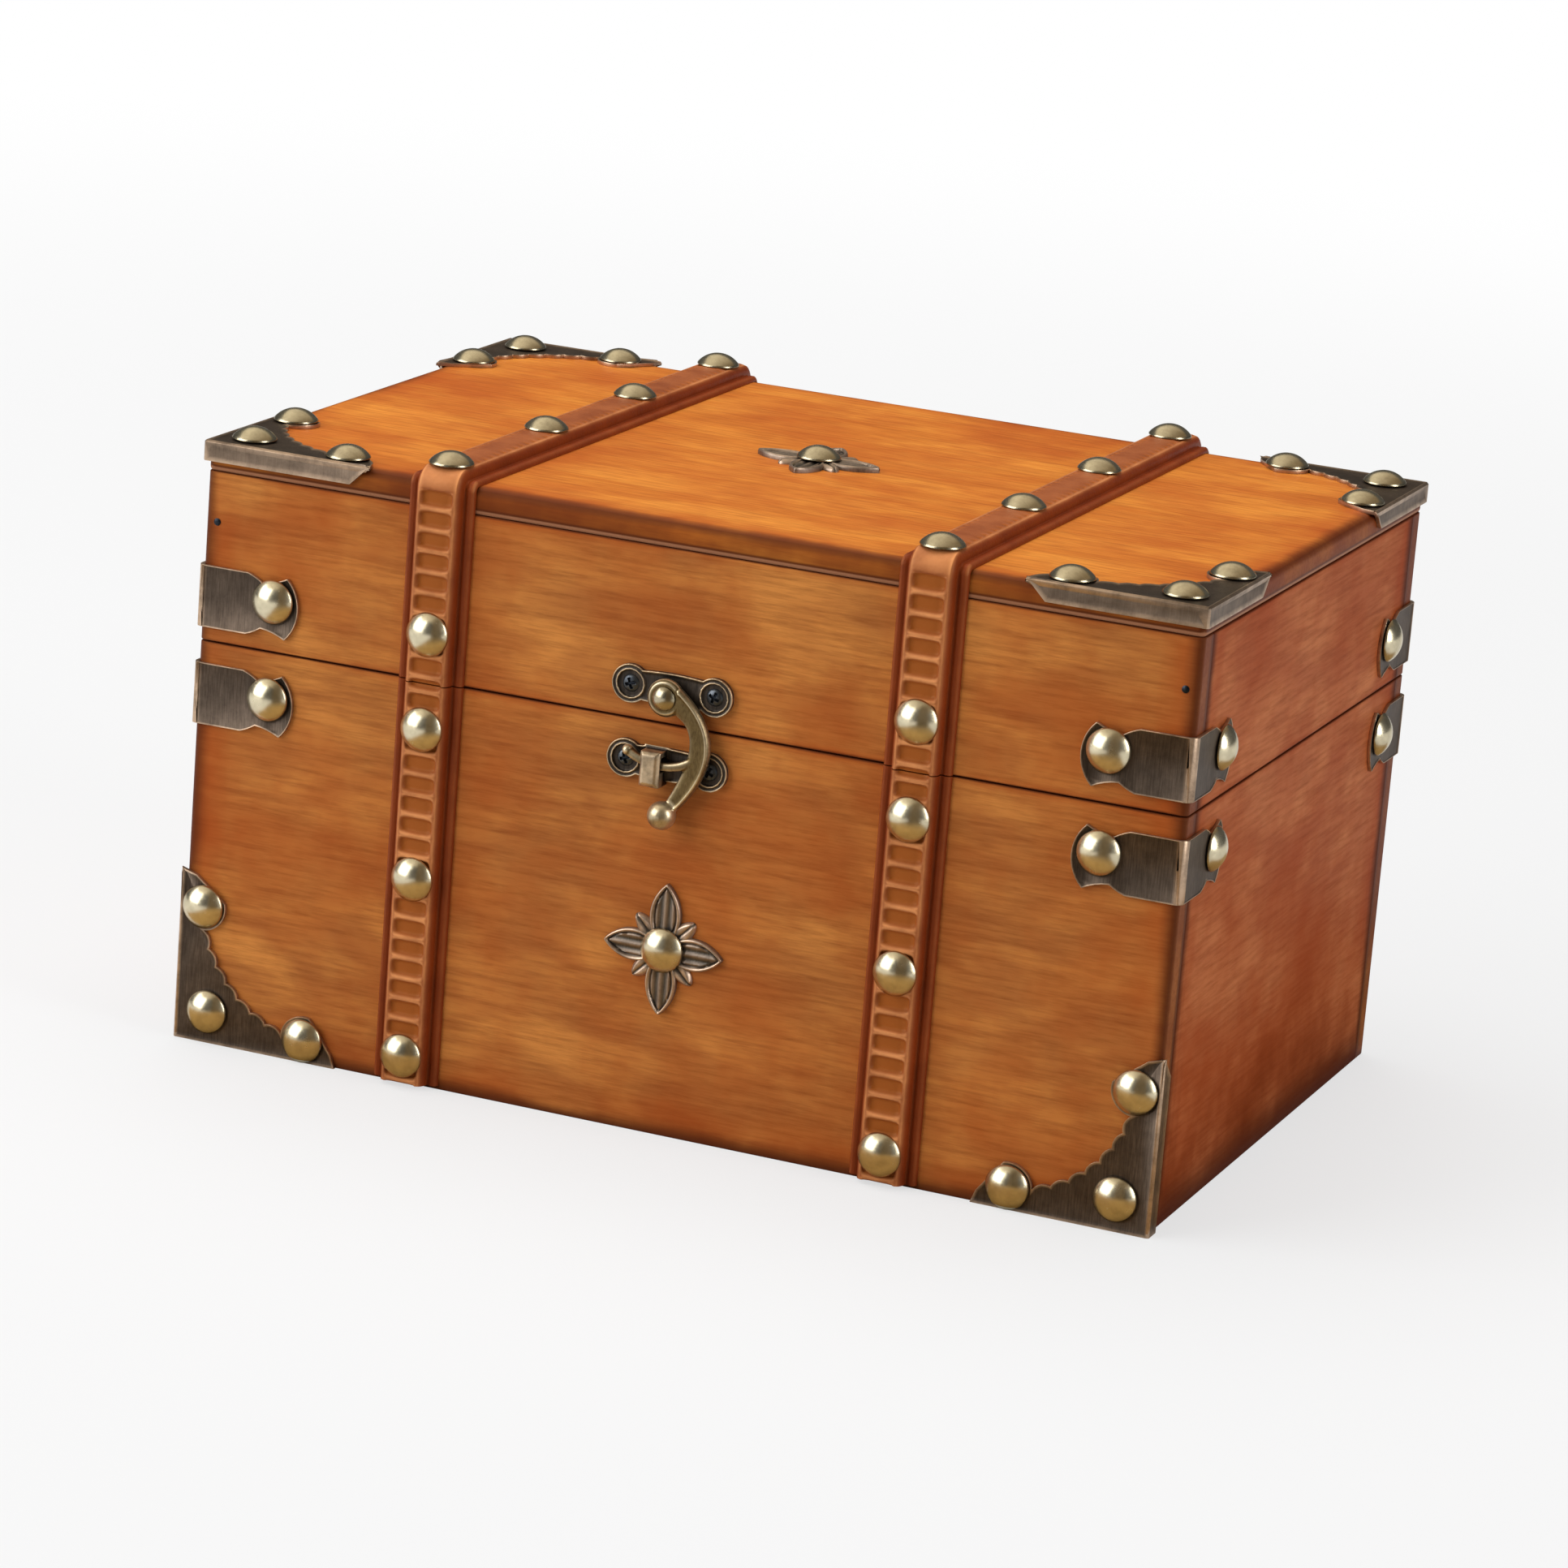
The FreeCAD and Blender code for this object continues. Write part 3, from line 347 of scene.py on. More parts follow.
def strap_mesh(name, x_middle, half_width, stations):
    """A strap along its stations. Each is a point on the wood and the way out from it, as y, z, out_y and
    out_z, and then the distances that its ladder and its stitches are counted by, or None."""
    across = strap_columns(half_width)
    out = np.abs(across)
    section = strap_section(across, half_width)
    shoulder = np.exp(-((out - CROWN_HALF) / SHOULDER_SPREAD) ** 2)
    rim = np.exp(-((out - half_width + RIM_IN) / RIM_SPREAD) ** 2)
    plain_wear = SHOULDER_WEAR * shoulder + RIM_WEAR * rim + CROWN_WEAR * (out < CROWN_HALF)
    mesh = bmesh.new()
    worn = mesh.verts.layers.float.new("worn")
    sunk = mesh.verts.layers.float.new("sunk")
    rows = []
    for y, z, out_y, out_z, ladder, stitch in stations:
        height, hollow = section.copy(), np.zeros(len(across))
        bend = math.sqrt(2 * abs(out_y * out_z))
        wear = plain_wear + bend * (BEND_CROWN_WEAR * (out < CROWN_HALF) + BEND_RIM_WEAR * rim)
        if ladder is not None:
            steps = (ladder - LADDER_START) / LADDER_PITCH
            along = abs(steps - round(steps)) * LADDER_PITCH - CELL_LENGTH / 2 + CELL_ROUND
            beside = out - CELL_HALF + CELL_ROUND
            corner = np.hypot(np.maximum(along, 0), np.maximum(beside, 0))
            outside = corner + np.minimum(np.maximum(along, beside), 0) - CELL_ROUND
            hollow = 1 - eased_step(outside, -CELL_SOFT, CELL_SOFT)
            lip = np.exp(-((outside - CELL_LIP) / CELL_LIP) ** 2)
            height = height - CELL_DEPTH * hollow + CELL_LIP_RISE * lip
            bar = eased_step(along - beside, -BAR_SOFT, BAR_SOFT)
            wear = np.maximum(wear * (1 - hollow), (CELL_LIP_WEAR + (1 - CELL_LIP_WEAR) * bar) * lip)
        if stitch is not None:
            from_stitch = abs(stitch / STITCH_PITCH - round(stitch / STITCH_PITCH)) * STITCH_PITCH
            along = 1 - eased_step(from_stitch, STITCH_LENGTH / 2 - STITCH_HALF, STITCH_LENGTH / 2)
            beside = np.exp(-((out - STITCH_AT) / STITCH_HALF) ** 2)
            hollow = np.maximum(hollow, beside * along)
            height = height - STITCH_DEPTH * beside * along
        row = [mesh.verts.new((x_middle + u, y + out_y * h, z + out_z * h)) for u, h in zip(across, height)]
        for vert, w, s in zip(row, wear, hollow):
            vert[worn], vert[sunk] = w, s
        foot = [mesh.verts.new((x_middle + u, y, z)) for u in (half_width, -half_width)]
        rows.append(row + foot)
    skin_over(mesh, rows)
    bmesh.ops.recalc_face_normals(mesh, faces=mesh.faces)
    return made_piece(name, mesh, leather, sharp=50)


def run(start, end, step):
    """Evenly spaced places from start to end, about a step apart."""
    return np.linspace(start, end, max(2, int(abs(end - start) / step)))


top_low, top_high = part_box("lid_top_panel")
seam_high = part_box("lid_front_rail")[0].z
seam_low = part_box("body_front_panel")[1].z
front, back, lid_top = top_low.y, top_high.y, top_high.z


def lid_stations(foot_z):
    """The way of a lid strap: up the front, over the top and down the back to its foot."""
    bend_z, bend_y = lid_top - BEND_RADIUS, back - BEND_RADIUS
    stations = [(front, z, -1, 0, z - seam_high, None) for z in run(seam_high, bend_z, STRAP_STEP)[:-1]]
    turns = run(0, math.pi / 2, math.pi / 2 / BEND_STEPS)
    for turn in turns:
        c, s = math.cos(turn), math.sin(turn)
        stations.append((-bend_y - BEND_RADIUS * c, bend_z + BEND_RADIUS * s, -c, s, None, None))
    stations += [(y, lid_top, 0, 1, None, y) for y in run(-bend_y, bend_y, STRAP_STEP)[1:-1]]
    for turn in turns[::-1]:
        c, s = math.cos(turn), math.sin(turn)
        stations.append((bend_y + BEND_RADIUS * c, bend_z + BEND_RADIUS * s, c, s, None, None))
    stations += [(back, z, 1, 0, z - seam_high, None) for z in run(bend_z, foot_z, STRAP_STEP)[1:]]
    return stations


back_foot = seam_high + STRAP_SHORT
for side in ("left", "right"):
    low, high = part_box("lid_strap_" + side)
    middle, half = (low.x + high.x) / 2, (high.x - low.x) / 2
    piece = strap_mesh("lid_strap_%s_leather" % side, middle, half, lid_stations(back_foot))
    fit(piece, "lid", "strap_leather", "lid_strap_" + side)
    for face, y, way in (("front", front, -1), ("back", back, 1)):
        cad_strap = "body_%s_strap_%s" % (face, side)
        low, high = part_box(cad_strap)
        stations = [(y, z, way, 0, seam_low - z, None) for z in run(high.z, low.z, STRAP_STEP)]
        piece = strap_mesh(cad_strap + "_leather", middle, half, stations)
        fit(piece, "box", "strap_leather", cad_strap)

# Corner irons: thin steel blanked with a scalloped edge, folded round the wood, with a raised rim, then
# bronzed dark and relieved by rubbing, so the rims and folds come out bright.
WELD = 0.001 * MM
SHEET = 1 * MM
IRON_RIM = 0.7 * MM
FLANGE_RIM = 1.2 * MM
FLANGE_WEAR = 0.2
IRON_SINK = 0.3 * MM
METAL_EASE = 0.16 * MM
SHARP_TURN = 0.45
WORN_TURN = 0.2
SQUARE_ON = 0.999


# Steel, bronze plated, blackened and relieved: warm black-brown in the hollows, faint rubbing marks on the
# flat and pinkish bright metal wherever a rag could reach an edge.
def antique_bronze(name, dark="#3B3129", flat="#726356", bright="#CDB094", dull=0.5, rub_length=5 * MM):
    bronze = new_material(name)
    place = node(bronze, "TexCoord", out="Object")
    mottle = node(bronze, "TexNoise", {"Vector": place, "Scale": 1 / (5 * MM), "Detail": 6, "Roughness": 0.7})
    upright = node(bronze, "Mapping", {"Vector": place, "Scale": stretched(0.35 * MM, 2, rub_length)})
    rubs = node(bronze, "TexNoise", {"Vector": upright, "Scale": 1, "Detail": 3})
    patina = node(bronze, "Math", {0: mottle, 1: rubs}, operation="MULTIPLY")
    patina = node(bronze, "MapRange", {"Value": patina, "From Min": 0.04, "From Max": 0.5})
    metal = node(bronze, "MixRGB", {"Fac": patina, "Color1": linear(dark), "Color2": linear(flat)})
    worn = node(bronze, "Attribute", out="Fac", attribute_name="worn")
    ragged = node(bronze, "MapRange", {"Value": mottle, "From Min": 0.3, "From Max": 0.6, "To Min": 0.35})
    relief = node(bronze, "Math", {0: worn, 1: ragged}, operation="MULTIPLY", use_clamp=True)
    metal = node(bronze, "MixRGB", {"Fac": relief, "Color1": metal, "Color2": linear(bright)})
    gloss = node(bronze, "MapRange", {"Value": relief, "To Min": dull, "To Max": 0.32})
    marks = node(bronze, "Bump", {"Height": rubs, "Strength": 0.08, "Distance": 0.05 * MM})
    shader = node(bronze, "BsdfPrincipled", {"Base Color": metal, "Metallic": 0.9, "Roughness": gloss,
                                             "Normal": marks})
    node(bronze, "OutputMaterial", {"Surface": shader})
    return bronze


iron_bronze = antique_bronze("relieved_antique_bronze")


def cad_copy(cad_node):
    """The CAD node's shape with its seams welded."""
    mesh = bmesh.new()
    mesh.from_mesh(frame["nodes"][cad_node].data)
    bmesh.ops.remove_doubles(mesh, verts=mesh.verts, dist=WELD)
    return mesh


def raise_rim(mesh, rim, sink, faces):
    """Sinks the middle of a flat region, which leaves a rim along its outline."""
    if faces:
        outward = faces[0].normal.copy()
        bmesh.ops.inset_region(mesh, faces=faces, thickness=rim, use_even_offset=True, use_boundary=True)
        for vert in {vert for face in faces for vert in face.verts}:
            vert.co -= outward * sink


def round_and_wear(mesh, ease):
    """Rounds the sharp edges and marks the outward ones as worn."""
    edges = [edge for edge in mesh.edges if edge.is_manifold and edge.calc_face_angle() > SHARP_TURN]
    bmesh.ops.bevel(mesh, geom=edges, offset=ease, segments=2, profile=0.5, affect="EDGES",
                    clamp_overlap=True)
    worn = mesh.verts.layers.float.new("worn")
    for vert in mesh.verts:
        turns = [edge.calc_face_angle_signed() for edge in vert.link_edges if edge.is_manifold]
        vert[worn] = min(max((max(turns, default=0) - WORN_TURN) / WORN_TURN, 0), 1)


def facing_out(mesh, axis, sign, low, high):
    """Faces square to an axis that lie between two heights along it."""
    return [face for face in mesh.faces if face.normal[axis] * sign > SQUARE_ON
            and low < face.calc_center_median()[axis] * sign < high]


def leave(mesh, faces, wear):
    """Leaves this much wear on the corners of some faces."""
    worn = mesh.verts.layers.float["worn"]
    for face in faces:
        for vert in face.verts:
            vert[worn] = wear


# How far out each face of the wood lies, by its axis and sign.
wood_out = {(0, 1): top_high.x, (0, -1): -top_low.x, (1, 1): back, (1, -1): -front, (2, 1): lid_top}


def sheet_fitting(cad_node, material, plain_rim, flanges=()):
    """A fitting of thin sheet in the place of its CAD node, with a rim on each face that shows. The faces
    across the axes of its flanges have a wider rim and are rubbed paler."""
    mesh = cad_copy(cad_node)
    for (axis, sign), plane in wood_out.items():
        rim = FLANGE_RIM if axis in flanges else plain_rim
        raise_rim(mesh, rim, IRON_SINK, facing_out(mesh, axis, sign, plane + SHEET / 2, plane + 2 * SHEET))
    round_and_wear(mesh, METAL_EASE)
    for (axis, sign), plane in wood_out.items():
        field = plane + SHEET - IRON_SINK
        sunk = facing_out(mesh, axis, sign, field - IRON_SINK / 3, field + IRON_SINK / 3)
        leave(mesh, sunk, FLANGE_WEAR if axis in flanges else 0)
    return made_piece(cad_node + "_sheet", mesh, material, sharp=50)


irons = (("base_irons", "box", (0,)), ("lid_front_irons", "lid", (0, 1)), ("lid_back_irons", "lid", (0, 1)))
for cad_node, body, flanges in irons:
    fit(sheet_fitting(cad_node, iron_bronze, IRON_RIM, flanges), body, "antique_bronze", cad_node)

# Corner wraps: strips of the same bronzed sheet bent round the upright corners above and below the seam, with
# an axe-shaped end on each wing and a nail through it.
WRAP_RIM = 0.4 * MM
wraps = {"body_front_wraps": "box", "body_back_wraps": "box",
         "lid_front_wraps": "lid", "lid_back_wraps": "lid"}
for cad_node, body in wraps.items():
    fit(sheet_fitting(cad_node, iron_bronze, WRAP_RIM), body, "antique_bronze", cad_node)

# Flower ornaments: thin zinc castings, four ribbed petals in a raised rim and four short double leaves
# between them, bronzed like the irons and held by one nail in the middle.
PETAL_LONG = 15.9 * MM
PETAL_SHORT = 15 * MM
PETAL_HALF = 3.9 * MM
PETAL_START = 0.12
PETAL_RIM = 1 * MM
PETAL_RIM_SPREAD = 0.62 * PETAL_RIM
PETAL_EDGE = 0.2 * MM
PETAL_GROOVE = 0.55 * MM
PETAL_RIB = 2.1 * MM
PETAL_RIB_RISE = 0.4 * MM
PETAL_RIB_WEAR = 0.45
PETAL_THICK = 1.4 * MM
FIELD_FROM = 0.6 * PETAL_RIM
FIELD_FLOOR = 0.35 * MM
FIELD_RISE = 0.35 * MM
LEAF_REACH = 10.5 * MM
LEAF_HALF = 2.3 * MM
LEAF_START = 0.2
LEAF_THICK = 1.2 * MM
LEAF_EDGE = 0.3 * MM
LEAF_SHOULDER = 0.8 * MM
LEAF_WEAR = 0.9
LEAF_WORN_FROM = 0.5
LEAF_WORN_RAMP = 0.15
CLEFT_HALF = 0.3 * MM
CLEFT_DEPTH = 0.4 * MM
PETAL_POINT = 0.85
LEAF_POINT = 0.55
HUB_RADIUS = 7.2 * MM
HUB_THICK = 0.6 * MM
HUB_SIDES = 32
PETAL_GRID = (44, 24)
# The casting holds more black in its hollows than the sheet does, and is rubbed paler on its ribs.
flower_bronze = antique_bronze("relieved_antique_bronze_casting", dark="#241F1B", flat="#7C766E",
                               bright="#E0C4AC")


def lens_half(share, half, point):
    """Half width of a petal at a share of its length, more pointed the higher its point is."""
    return half * np.clip(1 - (2 * share - 1) ** 2, 0, 1) ** point


def petal_height(gap, across, share):
    """Height of a petal by the distance to its outline and from its middle, and how bright it is rubbed."""
    rim = PETAL_THICK * np.sqrt(np.clip(1 - ((gap - PETAL_RIM / 2) / PETAL_RIM_SPREAD) ** 2, 0, 1))
    inside = eased_step(gap, PETAL_RIM, PETAL_RIM + PETAL_GROOVE)
    rib = 0.5 + 0.5 * math.cos(2 * math.pi * across / PETAL_RIB)
    body = FIELD_FLOOR + inside * (FIELD_RISE + PETAL_RIB_RISE * rib)
    bright = max(float(rim / PETAL_THICK) ** 2 * (gap < PETAL_RIM), PETAL_RIB_WEAR * float(inside) * rib)
    return max(float(rim), float(body) if gap > FIELD_FROM else PETAL_EDGE), bright


def leaf_height(gap, across, share):
    """Height of a leaf, parted by a cleft along its middle, and how bright it is rubbed."""
    cleft = math.exp(-(across / CLEFT_HALF) ** 2)
    height = LEAF_THICK * math.sqrt(min(max(gap, 0) / LEAF_SHOULDER, 1)) - CLEFT_DEPTH * cleft
    outer = min(max((share - LEAF_WORN_FROM) / LEAF_WORN_RAMP, 0), 1)
    return max(height, LEAF_EDGE), LEAF_WEAR * outer * (1 - cleft)


def add_petal(mesh, worn, reach, half, point, start, turn, place, height_of):
    """One petal as a height field over its pointed outline, from a start share of its reach to its tip."""
    steps, columns = PETAL_GRID
    rows = []
    for share in np.linspace(start, 1, steps + 1):
        width = float(lens_half(share, half, point))
        row = []
        for side in np.linspace(-1, 1, columns + 1):
            gap = (1 - abs(side)) * width
            height, bright = height_of(min(gap, (1 - share) * reach), side * width, share)
            row.append((share * reach, side * width, height, bright))
        low = [(x, y, 0, bright) for x, y, _, bright in (row[0], row[-1])]
        rows.append([low[0]] + row + [low[1]])
    petal_place = place @ Matrix.Rotation(turn, 4, "Z")
    made = []
    for row in rows:
        verts = [mesh.verts.new(petal_place @ Vector(at[:3])) for at in row]
        for vert, at in zip(verts, row):
            vert[worn] = at[3]
        made.append(verts)
    skin_over(mesh, made)


def flower(name, place):
    """One ornament: petals and leaves by turns round a flat hub."""
    mesh = bmesh.new()
    worn = mesh.verts.layers.float.new("worn")
    for quarter in range(4):
        reach = PETAL_LONG if quarter % 2 else PETAL_SHORT
        turn = quarter * math.pi / 2
        add_petal(mesh, worn, reach, PETAL_HALF, PETAL_POINT, PETAL_START, turn, place, petal_height)
        between = turn + math.pi / 4
        add_petal(mesh, worn, LEAF_REACH, LEAF_HALF, LEAF_POINT, LEAF_START, between, place, leaf_height)
    # The hub is a dark disc under the middle of the flower that fills the gaps between petals and leaves:
    # painted shade.
    hub = bmesh.ops.create_circle(mesh, cap_ends=True, radius=HUB_RADIUS, segments=HUB_SIDES, matrix=place)
    disc = list({face for vert in hub["verts"] for face in vert.link_faces})
    raised = bmesh.ops.extrude_face_region(mesh, geom=disc)["geom"]
    way = place.to_3x3() @ Vector((0, 0, HUB_THICK))
    lifted = [item for item in raised if isinstance(item, bmesh.types.BMVert)]
    bmesh.ops.translate(mesh, vec=way, verts=lifted)
    bmesh.ops.remove_doubles(mesh, verts=mesh.verts, dist=WELD)
    bmesh.ops.dissolve_degenerate(mesh, edges=mesh.edges, dist=WELD)
    bmesh.ops.recalc_face_normals(mesh, faces=mesh.faces)
    return made_piece(name, mesh, flower_bronze, sharp=60)


def middle_of(cad_node):
    low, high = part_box(cad_node)
    return (low + high) / 2


spot = middle_of("body_flower")
on_front = Matrix.Translation((spot.x, front, spot.z)) @ Matrix.Rotation(math.pi / 2, 4, "X")
fit(flower("front_flower", on_front), "box", "antique_bronze", "body_flower")
spot = middle_of("lid_flower")
on_top = Matrix.Translation((spot.x, spot.y, lid_top)) @ Matrix.Rotation(math.pi / 2, 4, "Z")
fit(flower("top_flower", on_top), "lid", "antique_bronze", "lid_flower")

# Dome nails: brass-plated heads pressed from sheet over a steel shank, one at each hole of a fitting and in a
# row along every strap.
NAIL_HEAD = 3.7 * MM
NAIL_DOME = 3 * MM
NAIL_RADIUS = 5.35 * MM
NAIL_LIP = 0.35 * MM
NAIL_SIDES = 40
NAIL_RINGS = 12
DOME_TUCK = 0.15 * MM
DOME_SWELL = 0.4
LIP_CLEAN = (0.2, 0.35, 0.6)
DOME_CLEAN = 0.75
DOME_DIRT_RINGS = 10

# Brass plate, pressed and tumbled bright, a little aged: a pale gold whose reflections are soft with haze,
# and darker in the ring where dirt stays.
brass = new_material("tumbled_brass_plate")
place = node(brass, "TexCoord", out="Object")
haze = node(brass, "TexNoise", {"Vector": place, "Scale": 1 / (2.5 * MM), "Detail": 5, "Roughness": 0.65})
worn = node(brass, "Attribute", out="Fac", attribute_name="worn")
clean = node(brass, "MapRange",
             {"Value": haze, "From Min": 0.3, "From Max": 0.7, "To Min": 0.75, "To Max": 1.1})
clean = node(brass, "Math", {0: worn, 1: clean}, operation="MULTIPLY", use_clamp=True)
gold = node(brass, "MixRGB", {"Fac": clean, "Color1": linear("#4E3F20"), "Color2": linear("#E6DABA")})
gloss = node(brass, "MapRange", {"Value": haze, "To Min": 0.22, "To Max": 0.3})
shader = node(brass, "BsdfPrincipled", {"Base Color": gold, "Metallic": 1.0, "Roughness": gloss})
node(brass, "OutputMaterial", {"Surface": shader})


def close_to_crown(mesh, rings):
    """Closes rings into a skin with a flat foot, and with one point for its crown."""
    mesh.faces.new(rings[0][::-1])
    for low, high in zip(rings, rings[1:]):
        for i in range(len(low)):
            j = (i + 1) % len(low)
            upper = (high[0],) if len(high) == 1 else (high[j], high[i])
            mesh.faces.new((low[i], low[j]) + upper)


def turned(mesh, worn, profile, place, sides=NAIL_SIDES):
    """Turns a profile of radius, height and brightness, from foot to crown, about the Z of a place."""
    rings = []
    for radius, height, bright in profile:
        count = sides if radius > WELD else 1
        ring = []
        for i in range(count):
            angle = 2 * math.pi * i / sides
            corner = Vector((radius * math.cos(angle), radius * math.sin(angle), height))
            ring.append(mesh.verts.new(place @ corner))
            ring[-1][worn] = bright
        rings.append(ring)
    close_to_crown(mesh, rings)


def dome_profile(radius, height, lip):
    """A pressed dome: a short upright lip under part of a sphere, each ring with how clean it is."""
    ball = (radius ** 2 + (height - lip) ** 2) / (2 * (height - lip))
    widest = math.asin(min(radius / ball, 1))
    lip_rings = ((radius - DOME_TUCK, 0), (radius, DOME_SWELL * lip), (radius, lip))
    profile = [(*ring, clean) for ring, clean in zip(lip_rings, LIP_CLEAN)]
    for ring in range(1, NAIL_RINGS + 1):
        angle = widest * (1 - ring / NAIL_RINGS)
        clean = min(DOME_CLEAN + ring / DOME_DIRT_RINGS, 1)
        profile.append((ball * math.sin(angle), height - ball * (1 - math.cos(angle)), clean))
    return profile


def islands(cad_node):
    """The corner points of each separate solid of a CAD node."""
    mesh = cad_copy(cad_node)
    left = set(mesh.verts)
    while left:
        group = set()
        reached = [next(vert for vert in mesh.verts if vert in left)]
        while reached:
            vert = reached.pop()
            if vert in left:
                left.remove(vert)
                group.add(vert)
                reached += [edge.other_vert(vert) for edge in vert.link_edges]
        yield np.array([vert.co for vert in group])
    mesh.free()


def nail_place(points):
    """Where a nail's head sits and faces: its length is the odd one of its three extents, and its head is the
    heavy end."""
    low, high = points.min(0), points.max(0)
    size = high - low
    axis = int(np.argmax([abs(size[i] - size[i - 1]) + abs(size[i] - size[i - 2]) for i in range(3)]))
    sign = 1 if points.mean(0)[axis] > (low + high)[axis] / 2 else -1
    outward = AXES[axis] * sign
    seat = Vector((low + high) / 2)
    seat[axis] = (high if sign > 0 else low)[axis] - sign * NAIL_HEAD
    return Matrix.Translation(seat) @ outward.to_track_quat("Z", "Y").to_matrix().to_4x4()


nail_groups = {"body_strap_nails": "box", "base_iron_nails": "box", "body_wrap_nails": "box",
               "body_flower_nail": "box", "lid_strap_nails": "lid", "lid_iron_nails": "lid",
               "lid_wrap_nails": "lid", "lid_flower_nail": "lid"}
for cad_node, body in nail_groups.items():
    mesh = bmesh.new()
    worn = mesh.verts.layers.float.new("worn")
    for points in islands(cad_node):
        turned(mesh, worn, dome_profile(NAIL_RADIUS, NAIL_DOME, NAIL_LIP), nail_place(points))
    fit(made_piece(cad_node + "_domes", mesh, brass), body, "polished_brass", cad_node)

# Latch plates: zinc castings with two round lobes sunk to pans, screwed to the lid and to the box. The lower
# one carries the bridge that the tongue of the arm slides under.
LATCH_THICK = 1.6 * MM
LATCH_RIM = 0.9 * MM
LATCH_SINK = 0.4 * MM
BRIDGE_FROM = 1.5 * MM
BRIDGE_ROUND = 1.1 * MM
BRIDGE_TURN = 0.3
BRIDGE_WORN_FROM = 0.6 * MM
BRIDGE_WORN_FULL = 1.8 * MM
BRIDGE_WEAR = 0.95
CAST_VOXEL = 0.15 * MM
CAST_SPREAD = 4
PLATE_SOFTEN = 3
PLATE_EDGE = (0.001 * MM, 0.009 * MM)
# Blacker in the pans than the sheet irons, and rubbed pale along the rims.
latch_bronze = antique_bronze("relieved_antique_bronze_latch", dark="#22201F", flat="#5B5148",
                              bright="#DCC3A0")


def standing_out(data):
    """How far each corner of a fine mesh stands out from its neighbours: large on the edges of a casting."""
    count = len(data.vertices)
    ends = np.empty(2 * len(data.edges), np.int32)
    places = np.empty(3 * count)
    normals = np.empty(3 * count)
    data.edges.foreach_get("vertices", ends)
    data.vertices.foreach_get("co", places)
    data.vertices.foreach_get("normal", normals)
    ends, places, normals = ends.reshape(-1, 2), places.reshape(-1, 3), normals.reshape(-1, 3)
    shared = np.bincount(ends.ravel(), minlength=count)

    def beside(values):
        total = np.zeros_like(values)
        np.add.at(total, ends[:, 0], values[ends[:, 1]])
        np.add.at(total, ends[:, 1], values[ends[:, 0]])
        return (total.T / shared).T

    rise = np.sum((places - beside(places)) * normals, axis=1)
    for _ in range(CAST_SPREAD):
        rise = beside(rise)
    return rise


def cast_in_one(piece, rounds, edge_from, edge_to, handled):
    """Melts a piece's shapes into one skin and softens it. What stands out between two heights is marked as
    worn, and so is what handled, a function of the points, says."""
    remesh = piece.modifiers.new("cast in one", "REMESH")
    remesh.mode = "VOXEL"
    remesh.voxel_size = CAST_VOXEL
    soften = piece.modifiers.new("soft casting edges", "SMOOTH")
    soften.factor = 0.5
    soften.iterations = rounds
    skin = bpy.data.meshes.new_from_object(piece.evaluated_get(bpy.context.evaluated_depsgraph_get()))
    piece.modifiers.clear()
    piece.data = skin
    skin.shade_smooth()
    points = np.empty(3 * len(skin.vertices))
    skin.vertices.foreach_get("co", points)
    wear = np.maximum(eased_step(standing_out(skin), edge_from, edge_to), handled(points.reshape(-1, 3)))
    worn = skin.attributes.new("worn", "FLOAT", "POINT")
    worn.data.foreach_set("value", wear.astype(np.float32))


def bridge_wear(points):
    """The bridge, where the tongue and the thumb rub it."""
    face = -front + LATCH_THICK
    return BRIDGE_WEAR * eased_step(-points[:, 1], face + BRIDGE_WORN_FROM, face + BRIDGE_WORN_FULL)


for cad_node, body in (("latch_plate", "lid"), ("latch_catch_plate", "box")):
    mesh = cad_copy(cad_node)
    face = -front + LATCH_THICK
    raise_rim(mesh, LATCH_RIM, LATCH_SINK, facing_out(mesh, 1, -1, face - NEAR, face + NEAR))
    crown = [edge for edge in mesh.edges if edge.is_manifold and edge.calc_face_angle() > BRIDGE_TURN
             and all(-vert.co.y > face + BRIDGE_FROM for vert in edge.verts)]
    bmesh.ops.bevel(mesh, geom=crown, offset=BRIDGE_ROUND, segments=4, profile=0.5, affect="EDGES",
                    clamp_overlap=True)
    plate = made_piece(cad_node + "_casting", mesh, latch_bronze)
    cast_in_one(plate, PLATE_SOFTEN, *PLATE_EDGE, bridge_wear)
    fit(plate, body, "antique_bronze", cad_node)

# Latch arm: one zinc casting, an eye on the rivet, a horn that bows to the right, a tongue through the bridge
# and a ball to push it by. Casting leaves it with soft round edges.
EYE_RADIUS = 4.5 * MM
EYE_BACK_IN = 0.6 * MM
EYE_BACK_UP = 0.5 * MM
EYE_FACE_EASE = 0.7 * MM
ARM_BACK = 1.9 * MM
ARM_FACE = 4.1 * MM
HORN_BULGE = 12 * MM
HORN_WIDTH = 5.2 * MM
HORN_RIM = 0.4 * MM
HORN_RIM_AT = 0.72
HORN_RIM_SPREAD = 0.2
HORN_MIDDLE = -11.5 * MM
HORN_OUTER_ROOT = math.radians(132)
HORN_INNER_ROOT = math.radians(37)
HORN_STEPS = 33
KNOB = Vector((1.5 * MM, -27.5 * MM))
KNOB_RADIUS = 3.4 * MM
KNOB_LIFT = 0.6 * MM
KNOB_NECK = 2.6 * MM
KNOB_WORN_FULL = 1.02 * KNOB_RADIUS
KNOB_WORN_TO = 1.4 * KNOB_RADIUS
KNOB_WEAR = 0.9
TONGUE_RADIUS = 16.2 * MM
TONGUE_HALF = 0.9 * MM
TONGUE_SWELL = 1.1
TONGUE_FLARE = 1.3
TONGUE_STEPS = 25
TONGUE_TIP_TURN = math.radians(32)
TONGUE_ROOT_TURN = math.radians(40)
TONGUE_TIP = 1.3 * MM
ARM_SIDES = 40
ARM_SQUARE = 0.65
